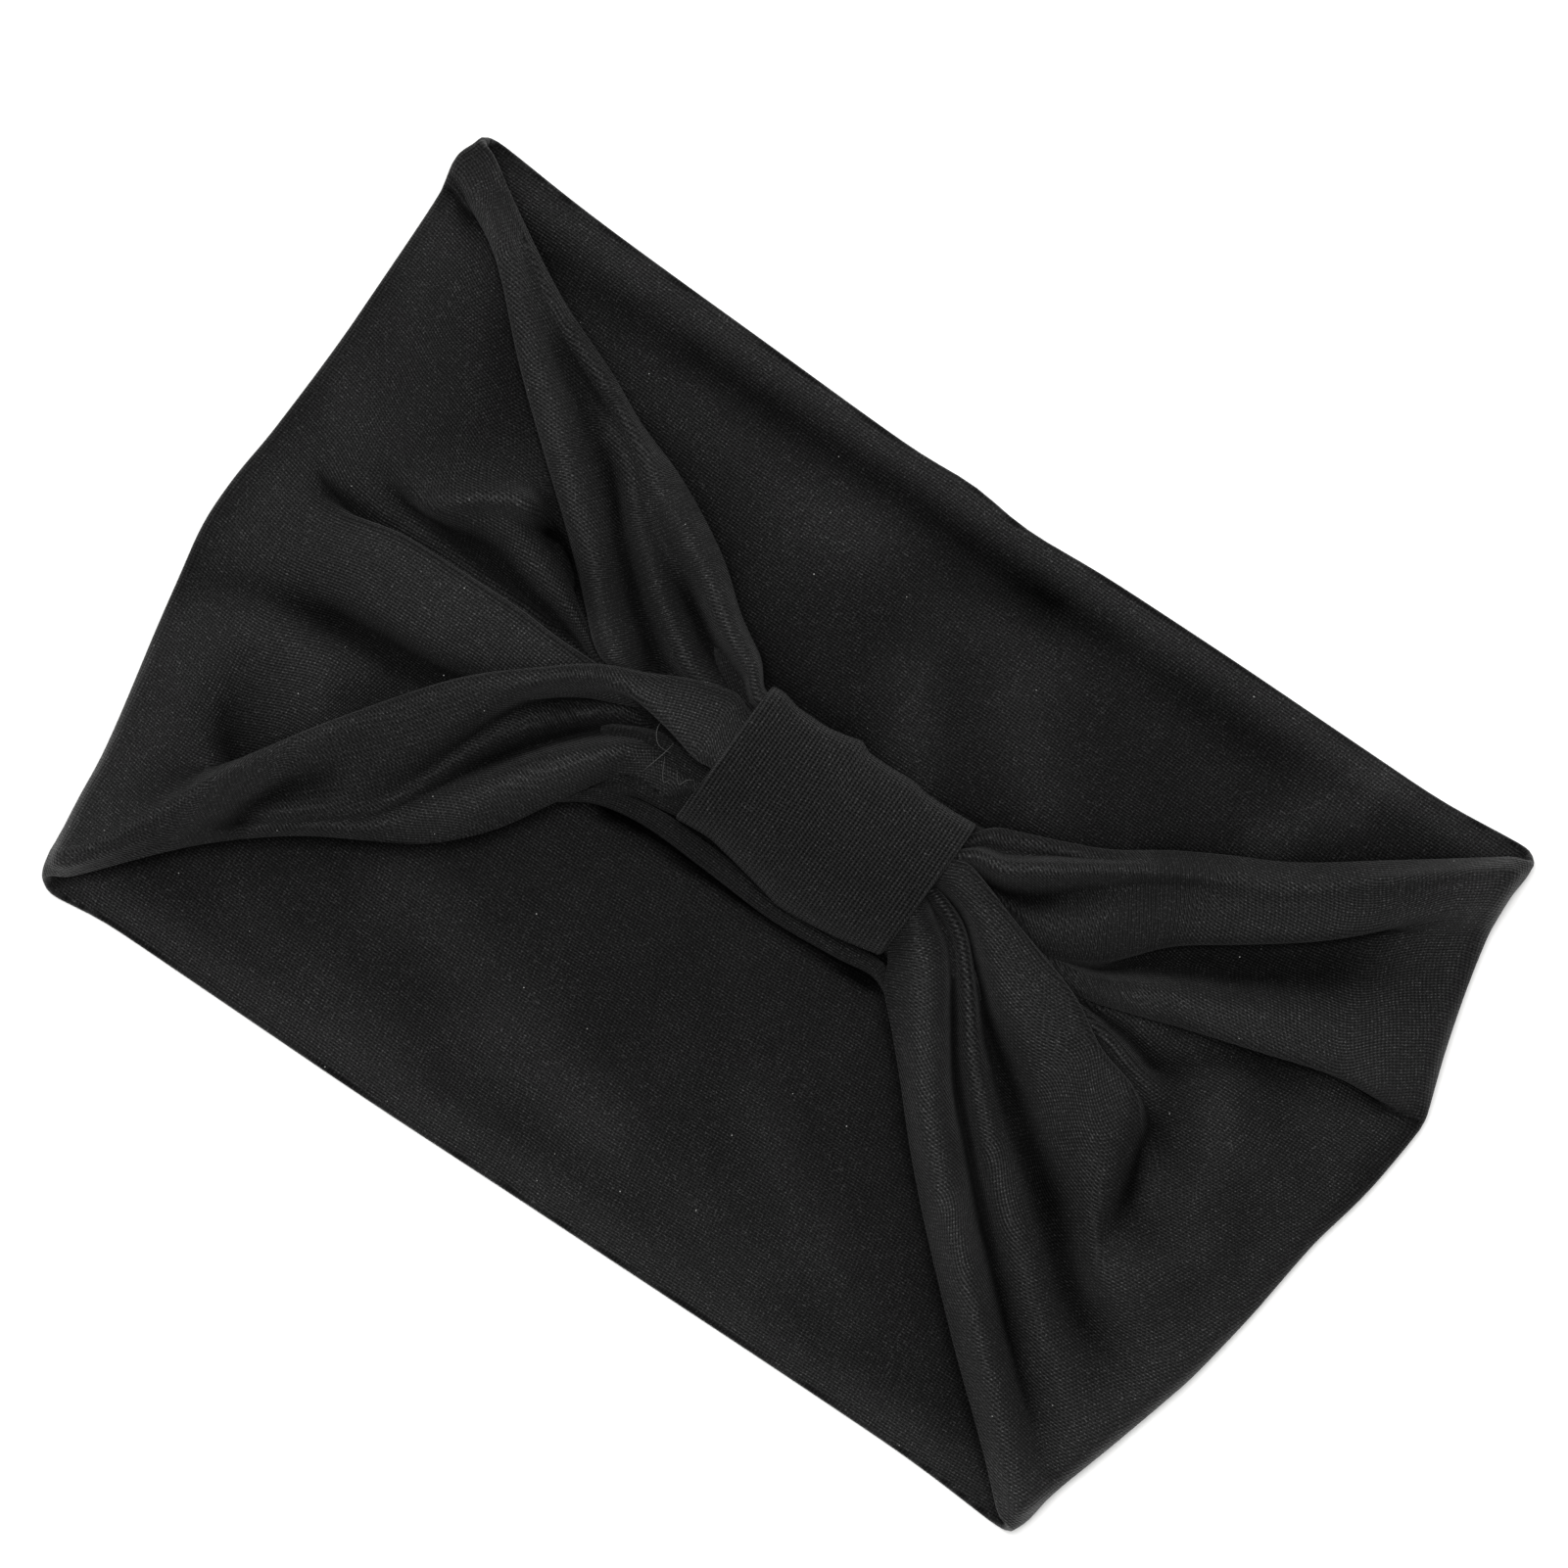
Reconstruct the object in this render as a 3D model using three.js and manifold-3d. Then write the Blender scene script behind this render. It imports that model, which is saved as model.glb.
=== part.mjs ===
// Twist headband: a wide loop of doubled jersey, lying flat with its knot up.
// Sizes in millimetres. X runs along the band, Y across it, Z up from the surface it lies on.
import * as THREE from "three";
import * as BufferGeometryUtils from "three/addons/utils/BufferGeometryUtils.js";
import Module from "manifold-3d";

// ---- driving dimensions ---------------------------------------------------------------------

const CLOTH_WALL = 1.5; // two layers of jersey, one on the other
const LAYER_STEP = 2.5; // from the middle of one folded layer to the middle of the next
const END_FOLD_HEIGHT = 7.2; // over both walls where the band turns back on itself
const END_FOLD_RIBS = 5;
const WING_RIBS = 14;
const BACK_RIBS = 5;
const SAMPLES_PER_FOLD = 2; // points across the cloth from one fold line to the next
const BEND_SHARE = 0.8; // share of a bend's radius that the wall may take up on its hollow side
const EDGE_ROUNDING = 0.55; // how far the rolled long edge stands out past its wall

const WRAP = {
  left: -22.3,
  right: 25.7,
  upper: 27.2,
  lower: -4.4,
  belly: 2.6, // how far its lower edge sags at the middle
  bottom: 2.15,
  top: 16.4,
  wall: 1.5,
  squareness: 2.5, // exponent of the oval: 2 is an ellipse, more is squarer
};
const WRAP_CLEARANCE = 0.35;
const THROAT_TAPER = 20; // length over which a wing thickens into the bundle
const THROAT_INSET = 2.5; // how far inside the wrap a wing's last rib lies

// The outline of the flat band: where each end fold lies, and the two long edges of the back.
const LEFT_END = {
  y: [-84, -70, -55, -42, -20, -3, 15, 40, 66, 75, 84],
  x: [-115.8, -119, -120.5, -123, -127.5, -130, -128.5, -127.5, -127.5, -128.5, -126.6],
};
const RIGHT_END = {
  y: [-83, -70, -50, -30, 0, 10, 26, 40, 54, 62, 76, 84],
  x: [107.6, 111, 117, 122, 126, 128.3, 130, 125.8, 122, 120, 119, 119.4],
};
const UPPER_EDGE = {
  x: [-126, -100, -60, -20, -12, 1, 20, 60, 95, 119],
  y: [83.5, 81.5, 80.2, 79.2, 80.3, 78.5, 79.7, 80.2, 80.3, 82.5],
};
const LOWER_EDGE = {
  x: [-115, -103, -50, 0, 80, 108],
  y: [-83.4, -81.7, -81.7, -81, -80.2, -81.8],
};

// Each wing is a fan of fold lines that run from its end fold in to the wrap. A row gives one
// fold line: y where it crosses each of `at`, and z of the cloth's middle at each of `zAt`.
// `tuck` is how far the cloth runs back under a fold that overhangs, `faces` the side it faces,
// and `from` and `to` the stretch of X over which it overhangs.
const LEFT_WING = {
  at: [-128, -112, -95, -80, -66, -53, -42, -32, -23.5],
  zAt: [-128, -95, -68, -54, -40, -23.5],
  folds: [
    {
      name: "upper edge",
      y: [84, 74.5, 64.5, 59, 52.5, 47.5, 41.5, 34, 24.3],
      z: [6.3, 8.6, 9.6, 9.8, 10, 9],
    },
    {
      name: "upper roll",
      y: [81.5, 72.5, 61.5, 56, 49.5, 44.2, 38, 31, 23.4],
      z: [6.3, 10.8, 12, 12.2, 12.4, 11.6],
    },
    {
      name: "upper groove",
      y: [79.5, 70.5, 59, 53, 46.5, 39.5, 31.5, 26.6, 22.4],
      z: [6.3, 12.2, 12, 10.8, 10, 11.4],
    },
    {
      name: "upper ridge",
      y: [78, 68.5, 56.8, 50.5, 43.5, 35.5, 27, 23.8, 20.8],
      z: [6.3, 12.9, 13.2, 13, 13, 13],
    },
    {
      name: "upper valley",
      y: [77, 66.8, 54.4, 46.5, 37.5, 28.6, 22, 20.6, 19.4],
      z: [6.3, 13.2, 11.6, 11, 10.6, 12.2],
    },
    {
      name: "upper crest",
      y: [76.2, 65.4, 52.4, 42.5, 31, 21.4, 18.6, 18.4, 18.2],
      z: [6.3, 13.4, 13.8, 12.8, 11.4, 13],
    },
    {
      name: "upper lip",
      y: [75.3, 63.7, 49.8, 38.5, 26, 17.2, 16.6, 17, 17.2],
      z: [6.3, 13, 13.2, 12, 11, 12.8],
      tuck: 7, faces: -1, from: -124, to: -52,
    },
    {
      name: "arch",
      y: [50, 40, 27, 27.5, 19, 13.6, 14.2, 14.8, 15],
      z: [6.3, 8.6, 9.6, 8.8, 10, 12.2],
    },
    {
      name: "dark valley",
      y: [22, 18, 16.6, 15.5, 13.6, 12.2, 13.3, 13.8, 14],
      z: [6.3, 7.8, 7.6, 8, 9.6, 11.8],
    },
    {
      name: "panel ridge",
      y: [-2, 4.3, 8.3, 9.6, 9.8, 10.9, 12.3, 12.8, 13],
      z: [6.3, 9, 9.4, 8.2, 9.8, 12],
    },
    {
      name: "panel valley",
      y: [-24, -16, -9.5, -5.5, 6, 9.6, 11.3, 11.8, 12],
      z: [6.3, 7.9, 7.9, 8, 10, 12],
    },
    {
      name: "lower lip",
      y: [-90, -70, -40, -16.5, 0, 8.4, 9.6, 9.8, 10.2],
      z: [6.3, 12.9, 13.2, 12.8, 12.8, 13.4],
      tuck: 6, faces: 1, from: -112, to: -54,
    },
    {
      name: "lower strip",
      y: [-91, -71.4, -42.6, -20, -3.4, 5.4, 8.2, 8.2, 8.6],
      z: [6.3, 13.2, 13.6, 13.4, 13.4, 13.2],
    },
    {
      name: "broad valley",
      y: [-92, -72.6, -46, -26, -11, 0.6, 5.6, 6.2, 6.8],
      z: [6.3, 12.2, 12, 11.4, 11.6, 12.6],
    },
    {
      name: "lower ridge",
      y: [-93, -73.8, -49, -30.6, -16, -3.6, 3.4, 4.6, 5],
      z: [6.3, 11.6, 12.2, 12, 11.2, 12.4],
    },
    {
      name: "deep valley",
      y: [-94, -75, -52.4, -35.6, -22, -9, 0.8, 2.8, 3],
      z: [6.3, 11, 10, 9, 9.6, 11],
    },
    {
      name: "lower crest",
      y: [-95, -76.4, -56, -41.4, -31.5, -17.5, -4, 0, 0.6],
      z: [6.3, 10.6, 11.4, 11.2, 10.8, 10.6],
    },
    {
      name: "lower edge",
      y: [-96, -77.8, -59.5, -46.5, -38.5, -29.3, -12, -3, -1.6],
      z: [6.3, 8.6, 9.2, 9.4, 9.4, 9],
    },
  ],
};
const RIGHT_WING = {
  at: [128, 112, 95, 80, 66, 53, 42, 34, 27],
  zAt: [128, 95, 68, 54, 40, 27],
  folds: [
    {
      name: "upper edge",
      y: [92, 78, 65.8, 55, 46.5, 39.3, 33.5, 30, 24.3],
      z: [6.3, 8.6, 9.6, 9.8, 10, 9],
    },
    {
      name: "upper roll",
      y: [90, 75.8, 62.8, 52, 43.4, 36.6, 30, 26.8, 23.4],
      z: [6.3, 10.8, 12.4, 12.8, 12.6, 11.8],
    },
    {
      name: "upper valley",
      y: [88.4, 73.4, 59.4, 48, 39, 30.4, 25, 23.6, 22.3],
      z: [6.3, 12.2, 12.2, 10.6, 10.6, 12],
    },
    {
      name: "upper ridge",
      y: [86.6, 70.4, 53.4, 42, 32, 22.6, 21.4, 21.4, 21.2],
      z: [6.3, 13.2, 13.4, 12.6, 11.6, 12.6],
    },
    {
      name: "upper lip",
      y: [84.6, 67, 46.5, 36, 25.5, 17.6, 19, 19.6, 20],
      z: [6.3, 13, 13, 12, 11.4, 12.6],
      tuck: 6, faces: -1, from: 112, to: 60,
    },
    {
      name: "middle crest",
      y: [42, 35, 28, 22, 17, 14.6, 17, 17.8, 18.4],
      z: [6.3, 12.9, 13.4, 11.8, 11.2, 12.6],
    },
    {
      name: "middle lip",
      y: [29.5, 27, 22, 17.5, 12.9, 12.4, 15.4, 16.2, 17],
      z: [6.3, 12.6, 12.9, 11.4, 11, 12.6],
      tuck: 4.5, faces: -1, from: 124, to: 60,
    },
    {
      name: "panel hollow",
      y: [4, 4, 4, 3.5, 8.2, 9.8, 13, 14, 15],
      z: [6.3, 7.8, 8.4, 9.6, 11, 12.4],
    },
    {
      name: "long lip",
      y: [-34, -32, -24, -11, 4.4, 7.2, 10.8, 12, 13],
      z: [6.3, 8.8, 12.9, 12.2, 12.4, 13],
      tuck: 4, faces: 1, from: 86, to: 57,
    },
    {
      name: "long ridge",
      y: [-48, -42, -33, -17, -2, 4.4, 9.2, 10.8, 11.8],
      z: [6.3, 9, 13.4, 13.6, 13.6, 13.6],
    },
    {
      name: "long valley",
      y: [-62, -54, -41, -28, -17.2, -8, 2.6, 7.2, 9.4],
      z: [6.3, 8.4, 9, 8.8, 9.4, 12],
    },
    {
      name: "thin ridge",
      y: [-72, -62, -50, -38, -25.6, -13.5, -1.2, 4.4, 7.6],
      z: [6.3, 9.4, 11.4, 11.6, 11.8, 12.8],
    },
    {
      name: "lower valley",
      y: [-82, -71, -58, -45, -32.3, -19.4, -5.4, 1.4, 5.6],
      z: [6.3, 8.6, 8.8, 8.8, 9.4, 11.8],
    },
    {
      name: "outer crest",
      y: [-94, -81.4, -65.5, -51.5, -39, -26.6, -14.6, -4.6, 2],
      z: [6.3, 11.6, 12.6, 12.6, 12.6, 12],
    },
    {
      name: "lower edge",
      y: [-98, -85.6, -70.5, -57, -44.9, -32.8, -21.7, -12.3, -1.6],
      z: [6.3, 8.6, 9.2, 9.4, 9.4, 9],
    },
  ],
};

// ---- curves through the tables --------------------------------------------------------------

// A smooth curve y(x) through the points that never swings past them: cubic pieces whose slope
// at each point is the harmonic mean of the slopes on its two sides, or zero at a turning point.
function smoothThrough(xs, ys) {
  const order = xs.map((_, i) => i).sort((a, b) => xs[a] - xs[b]);
  const x = order.map((i) => xs[i]);
  const y = order.map((i) => ys[i]);
  const last = x.length - 1;
  const rise = x.slice(1).map((_, i) => (y[i + 1] - y[i]) / (x[i + 1] - x[i]));
  const slope = x.map((_, i) => {
    if (i === 0) return rise[0];
    if (i === last) return rise[last - 1];
    const product = rise[i - 1] * rise[i];
    return product > 0 ? (2 * product) / (rise[i - 1] + rise[i]) : 0;
  });
  return (at) => {
    if (at <= x[0]) return y[0];
    if (at >= x[last]) return y[last];
    let i = 0;
    while (x[i + 1] < at) i += 1;
    const span = x[i + 1] - x[i];
    const t = (at - x[i]) / span;
    const fromStart = y[i] * (1 + 2 * t) * (1 - t) ** 2 + slope[i] * span * t * (1 - t) ** 2;
    const fromEnd = y[i + 1] * t * t * (3 - 2 * t) + slope[i + 1] * span * t * t * (t - 1);
    return fromStart + fromEnd;
  };
}

const { lerp, smoothstep, clamp } = THREE.MathUtils;
const UP = new THREE.Vector3(0, 0, 1);
const upperEdgeY = smoothThrough(UPPER_EDGE.x, UPPER_EDGE.y);
const lowerEdgeY = smoothThrough(LOWER_EDGE.x, LOWER_EDGE.y);

// ---- the wrap's oval ------------------------------------------------------------------------

// Centre and half sizes of the wrap's outer oval in the plane at x.
function wrapOval(x) {
  const middle = (WRAP.left + WRAP.right) / 2;
  const fromMiddle = clamp((2 * (x - middle)) / (WRAP.right - WRAP.left), -1, 1);
  const lower = WRAP.lower - WRAP.belly * (1 - fromMiddle ** 2);
  return {
    y: (WRAP.upper + lower) / 2,
    z: (WRAP.top + WRAP.bottom) / 2,
    halfWidth: (WRAP.upper - lower) / 2,
    halfHeight: (WRAP.top - WRAP.bottom) / 2,
  };
}

// Half the height of the bundle at y: the wrap's oval, less its wall and the clearance.
function bundleHalfHeight(x, y) {
  const oval = wrapOval(x);
  const inset = WRAP.wall + WRAP_CLEARANCE;
  const across = clamp(Math.abs(y - oval.y) / (oval.halfWidth - inset), 0, 1);
  return (oval.halfHeight - inset) * (1 - across ** WRAP.squareness) ** (1 / WRAP.squareness);
}

// ---- the wings ------------------------------------------------------------------------------

// Each wing with its tables made into curves. side is -1 on the left and +1 on the right.
function makeWing(table, end, side) {
  const endX = smoothThrough(end.y, end.x);
  const folds = table.folds.map((fold) => ({
    ...fold,
    yAt: smoothThrough(table.at, fold.y),
    zAt: smoothThrough(table.zAt, fold.z),
  }));
  const throat = side < 0 ? WRAP.left + THROAT_INSET : WRAP.right - THROAT_INSET;
  return { folds, endX, side, throat };
}

// How far a lip has opened at x: first it steps down a layer at a time, then it runs back under.
function lipOpening(fold, x) {
  const length = Math.abs(fold.to - fold.from);
  const along = (x - fold.from) * Math.sign(fold.to - fold.from);
  const eased = (lead, outer, inner) => (
    smoothstep(along, lead, lead + outer) * smoothstep(length - along, lead / 2, lead / 2 + inner)
  );
  return { down: eased(0, 14, 9), back: eased(8, 20, 10) };
}

// The fold lines of a wing where they cross x, from the upper edge to the lower, as [y, z]. A lip
// gives four points: two round its nose and two round the turn tucked in behind it.
function foldLines(wing, x) {
  const { folds } = wing;
  const points = [];
  folds.forEach((fold, k) => {
    const y = fold.yAt(x);
    const z = fold.zAt(x);
    if (!fold.tuck) {
      points.push([y, z]);
      return;
    }
    const { down, back } = lipOpening(fold, x);
    const next = folds[k - fold.faces];
    const turnPoint = (share, run, drop) => [
      lerp(lerp(y, next.yAt(x), share), y - fold.faces * run, back),
      lerp(lerp(z, next.zAt(x), share), z - drop, down),
    ];
    const turns = [
      [y, z],
      turnPoint(0.2, 0, LAYER_STEP),
      turnPoint(0.4, fold.tuck, LAYER_STEP),
      turnPoint(0.6, fold.tuck, 2 * LAYER_STEP),
    ];
    points.push(...(fold.faces < 0 ? turns : turns.reverse()));
  });
  return points;
}

// Where fold line k leaves the end fold, found by stepping to where its y meets the outline.
function startOf(wing, k, radius) {
  let x = wing.side * 120;
  for (let step = 0; step < 12; step += 1) {
    const y = foldLines(wing, x)[k][0];
    x = wing.endX(y) - wing.side * radius;
  }
  return x;
}

// A point on a wing: fold line k, a share of the way from the end fold to the throat.
function wingPoint(wing, k, share) {
  const x = lerp(wing.starts[k], wing.throat, share);
  const [y, z] = foldLines(wing, x)[k];
  const inWrap = smoothstep(THROAT_INSET + 4 - Math.abs(x - wing.throat), 0, 3);
  const centre = wrapOval(x).z;
  const highest = centre + Math.max(bundleHalfHeight(x, y) - CLOTH_WALL / 2, 0);
  return new THREE.Vector3(x, y, lerp(z, Math.min(z, highest), inWrap));
}

// ---- the band -------------------------------------------------------------------------------

const backMiddle = CLOTH_WALL / 2;
const foldRadius = (END_FOLD_HEIGHT - CLOTH_WALL) / 2;
const leftWing = makeWing(LEFT_WING, LEFT_END, -1);
const rightWing = makeWing(RIGHT_WING, RIGHT_END, 1);
const foldCount = foldLines(leftWing, leftWing.throat).length;
for (const wing of [leftWing, rightWing]) {
  wing.starts = Array.from({ length: foldCount }, (_, k) => startOf(wing, k, foldRadius + CLOTH_WALL / 2));
  const startY = wing.starts.map((x, k) => foldLines(wing, x)[k][0]);
  wing.backShare = startY.map((y) => (y - startY.at(-1)) / (startY[0] - startY.at(-1)));
}

// A point on the back panel under fold line k, a share of the way from the left end to the right.
function backPoint(k, share) {
  const x = lerp(leftWing.starts[k], rightWing.starts[k], share);
  const across = lerp(leftWing.backShare[k], rightWing.backShare[k], share);
  return new THREE.Vector3(x, lerp(lowerEdgeY(x), upperEdgeY(x), across), backMiddle);
}

// A point on an end fold, where angle runs from -90 degrees on the back to 90 on the wing.
function endFoldPoint(wing, k, angle) {
  const back = backPoint(k, wing.side < 0 ? 0 : 1);
  const front = wingPoint(wing, k, 0);
  const point = back.clone().lerp(front, (1 + Math.sin(angle)) / 2);
  point.x += wing.side * foldRadius * Math.cos(angle);
  return point;
}

// The ribs of the loop in order: back panel, right fold, right wing, bundle, left wing, left fold.
function loopRibs() {
  const ribs = [];
  const addRib = (pointAt) => ribs.push(Array.from({ length: foldCount }, (_, k) => pointAt(k)));
  const inward = (i) => 1 - (1 - i / WING_RIBS) ** 1.25;
  for (let i = 0; i < BACK_RIBS; i += 1) addRib((k) => backPoint(k, i / (BACK_RIBS - 1)));
  for (let i = 1; i < END_FOLD_RIBS; i += 1) {
    addRib((k) => endFoldPoint(rightWing, k, Math.PI * (i / END_FOLD_RIBS - 0.5)));
  }
  for (let i = 0; i <= WING_RIBS; i += 1) addRib((k) => wingPoint(rightWing, k, inward(i)));
  for (let i = 1; i < 4; i += 1) {
    addRib((k) => wingPoint(rightWing, k, 1).lerp(wingPoint(leftWing, k, 1), i / 4));
  }
  for (let i = WING_RIBS; i >= 0; i -= 1) addRib((k) => wingPoint(leftWing, k, inward(i)));
  for (let i = END_FOLD_RIBS - 1; i > 0; i -= 1) {
    addRib((k) => endFoldPoint(leftWing, k, Math.PI * (i / END_FOLD_RIBS - 0.5)));
  }
  return ribs.map((points) => {
    const curve = new THREE.CatmullRomCurve3(points, false, "centripetal");
    return Array.from({ length: (foldCount - 1) * SAMPLES_PER_FOLD + 1 }, (_, j) => (
      curve.getPoint(j / ((foldCount - 1) * SAMPLES_PER_FOLD))
    ));
  });
}

// The way a bent line heads at `point`: midway between its directions before and after.
function headingAt(before, point, after) {
  return point.clone().sub(before).normalize().add(after.clone().sub(point).normalize());
}

// How far a skin may stand off `point` along `normal` before it would cross itself in the bend
// from `before` to `after`: never more than most of the bend's radius on its hollow side.
function standOff(before, point, after, normal) {
  const arriving = point.clone().sub(before);
  const leaving = after.clone().sub(point);
  const shorter = Math.min(arriving.length(), leaving.length());
  const turn = arriving.angleTo(leaving);
  const hollow = leaving.normalize().sub(arriving.normalize()).dot(normal) > 0;
  const radius = shorter / (2 * Math.tan(turn / 2) + 1e-6);
  return hollow ? Math.min(CLOTH_WALL / 2, BEND_SHARE * radius) : CLOTH_WALL / 2;
}

// How far the wall has thickened into the bundle, from 0 out on the wings to 1 inside the wrap.
function bundleShare(point) {
  if (point.z < END_FOLD_HEIGHT) return 0;
  const outside = Math.max(WRAP.left - point.x, point.x - WRAP.right);
  return 1 - smoothstep(outside, 0, THROAT_TAPER);
}

// The closed solid of the cloth: an outer and an inner skin half a wall to each side of the ribs,
// joined along both long edges. Towards the wrap the inner skin drops to fill the bundle.
function bandGeometry() {
  const ribs = loopRibs();
  const around = ribs.length;
  const across = ribs[0].length;
  const positions = [];
  const outer = [];
  const inner = [];
  const rolled = [];
  const put = (point) => positions.push(point.x, point.y, point.z) / 3 - 1;
  ribs.forEach((rib, i) => {
    const before = ribs[(i + around - 1) % around];
    const after = ribs[(i + 1) % around];
    const filled = rib.map((point) => bundleShare(point));
    const normals = rib.map((_, j) => {
      const along = headingAt(before[j], rib[j], after[j]);
      const over = headingAt(rib[Math.max(j - 1, 0)], rib[j], rib[Math.min(j + 1, across - 1)]);
      return along.cross(over).normalize().lerp(UP, filled[j]).normalize();
    });
    const offset = (j, sign) => {
      const normal = normals[j].clone().multiplyScalar(sign);
      const isEdge = j === 0 || j === across - 1;
      const acrossLimit = isEdge ? CLOTH_WALL / 2 : standOff(rib[j - 1], rib[j], rib[j + 1], normal);
      const alongLimit = standOff(before[j], rib[j], after[j], normal);
      return rib[j].clone().addScaledVector(normal, Math.min(acrossLimit, alongLimit));
    };
    outer.push(rib.map((_, j) => put(offset(j, 1))));
    inner.push(rib.map((point, j) => {
      const under = offset(j, -1);
      const floor = wrapOval(point.x).z - bundleHalfHeight(point.x, point.y);
      under.z = lerp(under.z, Math.min(under.z, floor), filled[j]);
      return put(under);
    }));
    rolled.push([0, across - 1].map((j) => {
      const inwardNeighbour = rib[j === 0 ? 1 : across - 2];
      const outward = rib[j].clone().sub(inwardNeighbour).normalize();
      return put(rib[j].clone().addScaledVector(outward, EDGE_ROUNDING * CLOTH_WALL));
    }));
  });
  const faces = [];
  const quad = (a, b, c, d) => faces.push(a, b, c, a, c, d);
  for (let i = 0; i < around; i += 1) {
    const n = (i + 1) % around;
    for (let j = 0; j + 1 < across; j += 1) {
      quad(outer[i][j], outer[n][j], outer[n][j + 1], outer[i][j + 1]);
      quad(inner[i][j], inner[i][j + 1], inner[n][j + 1], inner[n][j]);
    }
    const e = across - 1;
    quad(outer[i][0], rolled[i][0], rolled[n][0], outer[n][0]);
    quad(rolled[i][0], inner[i][0], inner[n][0], rolled[n][0]);
    quad(outer[i][e], outer[n][e], rolled[n][1], rolled[i][1]);
    quad(rolled[i][1], rolled[n][1], inner[n][e], inner[i][e]);
  }
  const geometry = new THREE.BufferGeometry();
  geometry.setAttribute("position", new THREE.Float32BufferAttribute(positions, 3));
  geometry.setIndex(faces);
  return geometry;
}

// ---- the lowest fold of the gather ----------------------------------------------------------

// One fold of the band slips out under the wrap's lower edge and rejoins both wings. Its route
// runs from inside the left wing's cloth to inside the right wing's.
const LOWEST_FOLD = {
  radius: 1.9,
  sides: 8,
  steps: 22,
  route: [
    { x: -45, y: -15, z: 9 },
    { x: -38, y: -9.4, z: 6 },
    { x: -28, y: -6.6, z: 4.3 },
    { x: -12, y: -7, z: 4.2 },
    { x: 4, y: -8, z: 4.2 },
    { x: 18, y: -7, z: 4.2 },
    { x: 27, y: -6.6, z: 4.8 },
    { x: 34, y: -11.5, z: 8.8 },
  ],
};

function lowestFoldGeometry() {
  const { radius, sides, steps, route } = LOWEST_FOLD;
  const section = new THREE.Shape();
  section.absarc(0, 0, radius, 0, 2 * Math.PI, false);
  const path = new THREE.CatmullRomCurve3(route.map(({ x, y, z }) => new THREE.Vector3(x, y, z)));
  const tube = new THREE.ExtrudeGeometry(section, { steps, curveSegments: sides, extrudePath: path });
  tube.deleteAttribute("normal");
  tube.deleteAttribute("uv");
  return BufferGeometryUtils.mergeVertices(tube, 1e-4);
}

// ---- joining --------------------------------------------------------------------------------

const wasm = await Module();
wasm.setup();

function toSolid(geometry) {
  const vertProperties = new Float32Array(geometry.getAttribute("position").array);
  const triVerts = new Uint32Array(geometry.getIndex().array);
  return new wasm.Manifold(new wasm.Mesh({ numProp: 3, vertProperties, triVerts }));
}

function toGeometry(solid) {
  const mesh = solid.getMesh();
  const geometry = new THREE.BufferGeometry();
  geometry.setAttribute("position", new THREE.Float32BufferAttribute(mesh.vertProperties, 3));
  geometry.setIndex(new THREE.Uint32BufferAttribute(mesh.triVerts, 1));
  return geometry;
}

// ---- the wrap -------------------------------------------------------------------------------

const WRAP_SIDES = 32;
const WRAP_RIBS = 5;

function wrapGeometry() {
  const positions = [];
  const faces = [];
  const ring = (x, inset) => {
    const oval = wrapOval(x);
    return Array.from({ length: WRAP_SIDES }, (_, s) => {
      const angle = (2 * Math.PI * s) / WRAP_SIDES;
      const power = 2 / WRAP.squareness;
      const bend = (value) => Math.sign(value) * Math.abs(value) ** power;
      const y = oval.y + (oval.halfWidth - inset) * bend(Math.cos(angle));
      const z = oval.z + (oval.halfHeight - inset) * bend(Math.sin(angle));
      return positions.push(x, y, z) / 3 - 1;
    });
  };
  const rings = [];
  const xAt = (i) => lerp(WRAP.left, WRAP.right, i / WRAP_RIBS);
  for (let i = 0; i <= WRAP_RIBS; i += 1) rings.push(ring(xAt(i), 0));
  for (let i = WRAP_RIBS; i >= 0; i -= 1) rings.push(ring(xAt(i), WRAP.wall));
  rings.forEach((near, i) => {
    const far = rings[(i + 1) % rings.length];
    near.forEach((_, s) => {
      const n = (s + 1) % WRAP_SIDES;
      faces.push(near[s], near[n], far[n], near[s], far[n], far[s]);
    });
  });
  const geometry = new THREE.BufferGeometry();
  geometry.setAttribute("position", new THREE.Float32BufferAttribute(positions, 3));
  geometry.setIndex(faces);
  return geometry;
}

// ---- the object -----------------------------------------------------------------------------

const blackJersey = { color: 0x1c1c1f, roughness: 0.92, metalness: 0 };
const headband = new THREE.Group();

function addPiece(name, geometry, finish) {
  const piece = new THREE.Mesh(geometry, new THREE.MeshStandardMaterial(finish));
  piece.name = name;
  headband.add(piece);
}

const band = toSolid(bandGeometry()).add(toSolid(lowestFoldGeometry()));

addPiece("band", toGeometry(band), blackJersey);
addPiece("knot_wrap", wrapGeometry(), { ...blackJersey, roughness: 0.88 });

export default headband;
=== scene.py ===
# %% [markdown]
# # A knotted jersey headband, lying flat
#
# The real headband is one wide loop of black jersey, doubled so that its long edges are soft
# rolled folds with no hem. It lies on its back panel. At each end it turns back over itself,
# and its front is gathered from the full width into a bundle about three centimetres wide,
# held by a short strip of the same jersey. The two fans of folds between the ends and that
# strip are what make it look like a knot.
#
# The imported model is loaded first. It fixes where everything is: X runs along the band, Y
# across it and Z up from the surface it lies on.

import math
from collections import namedtuple

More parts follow.
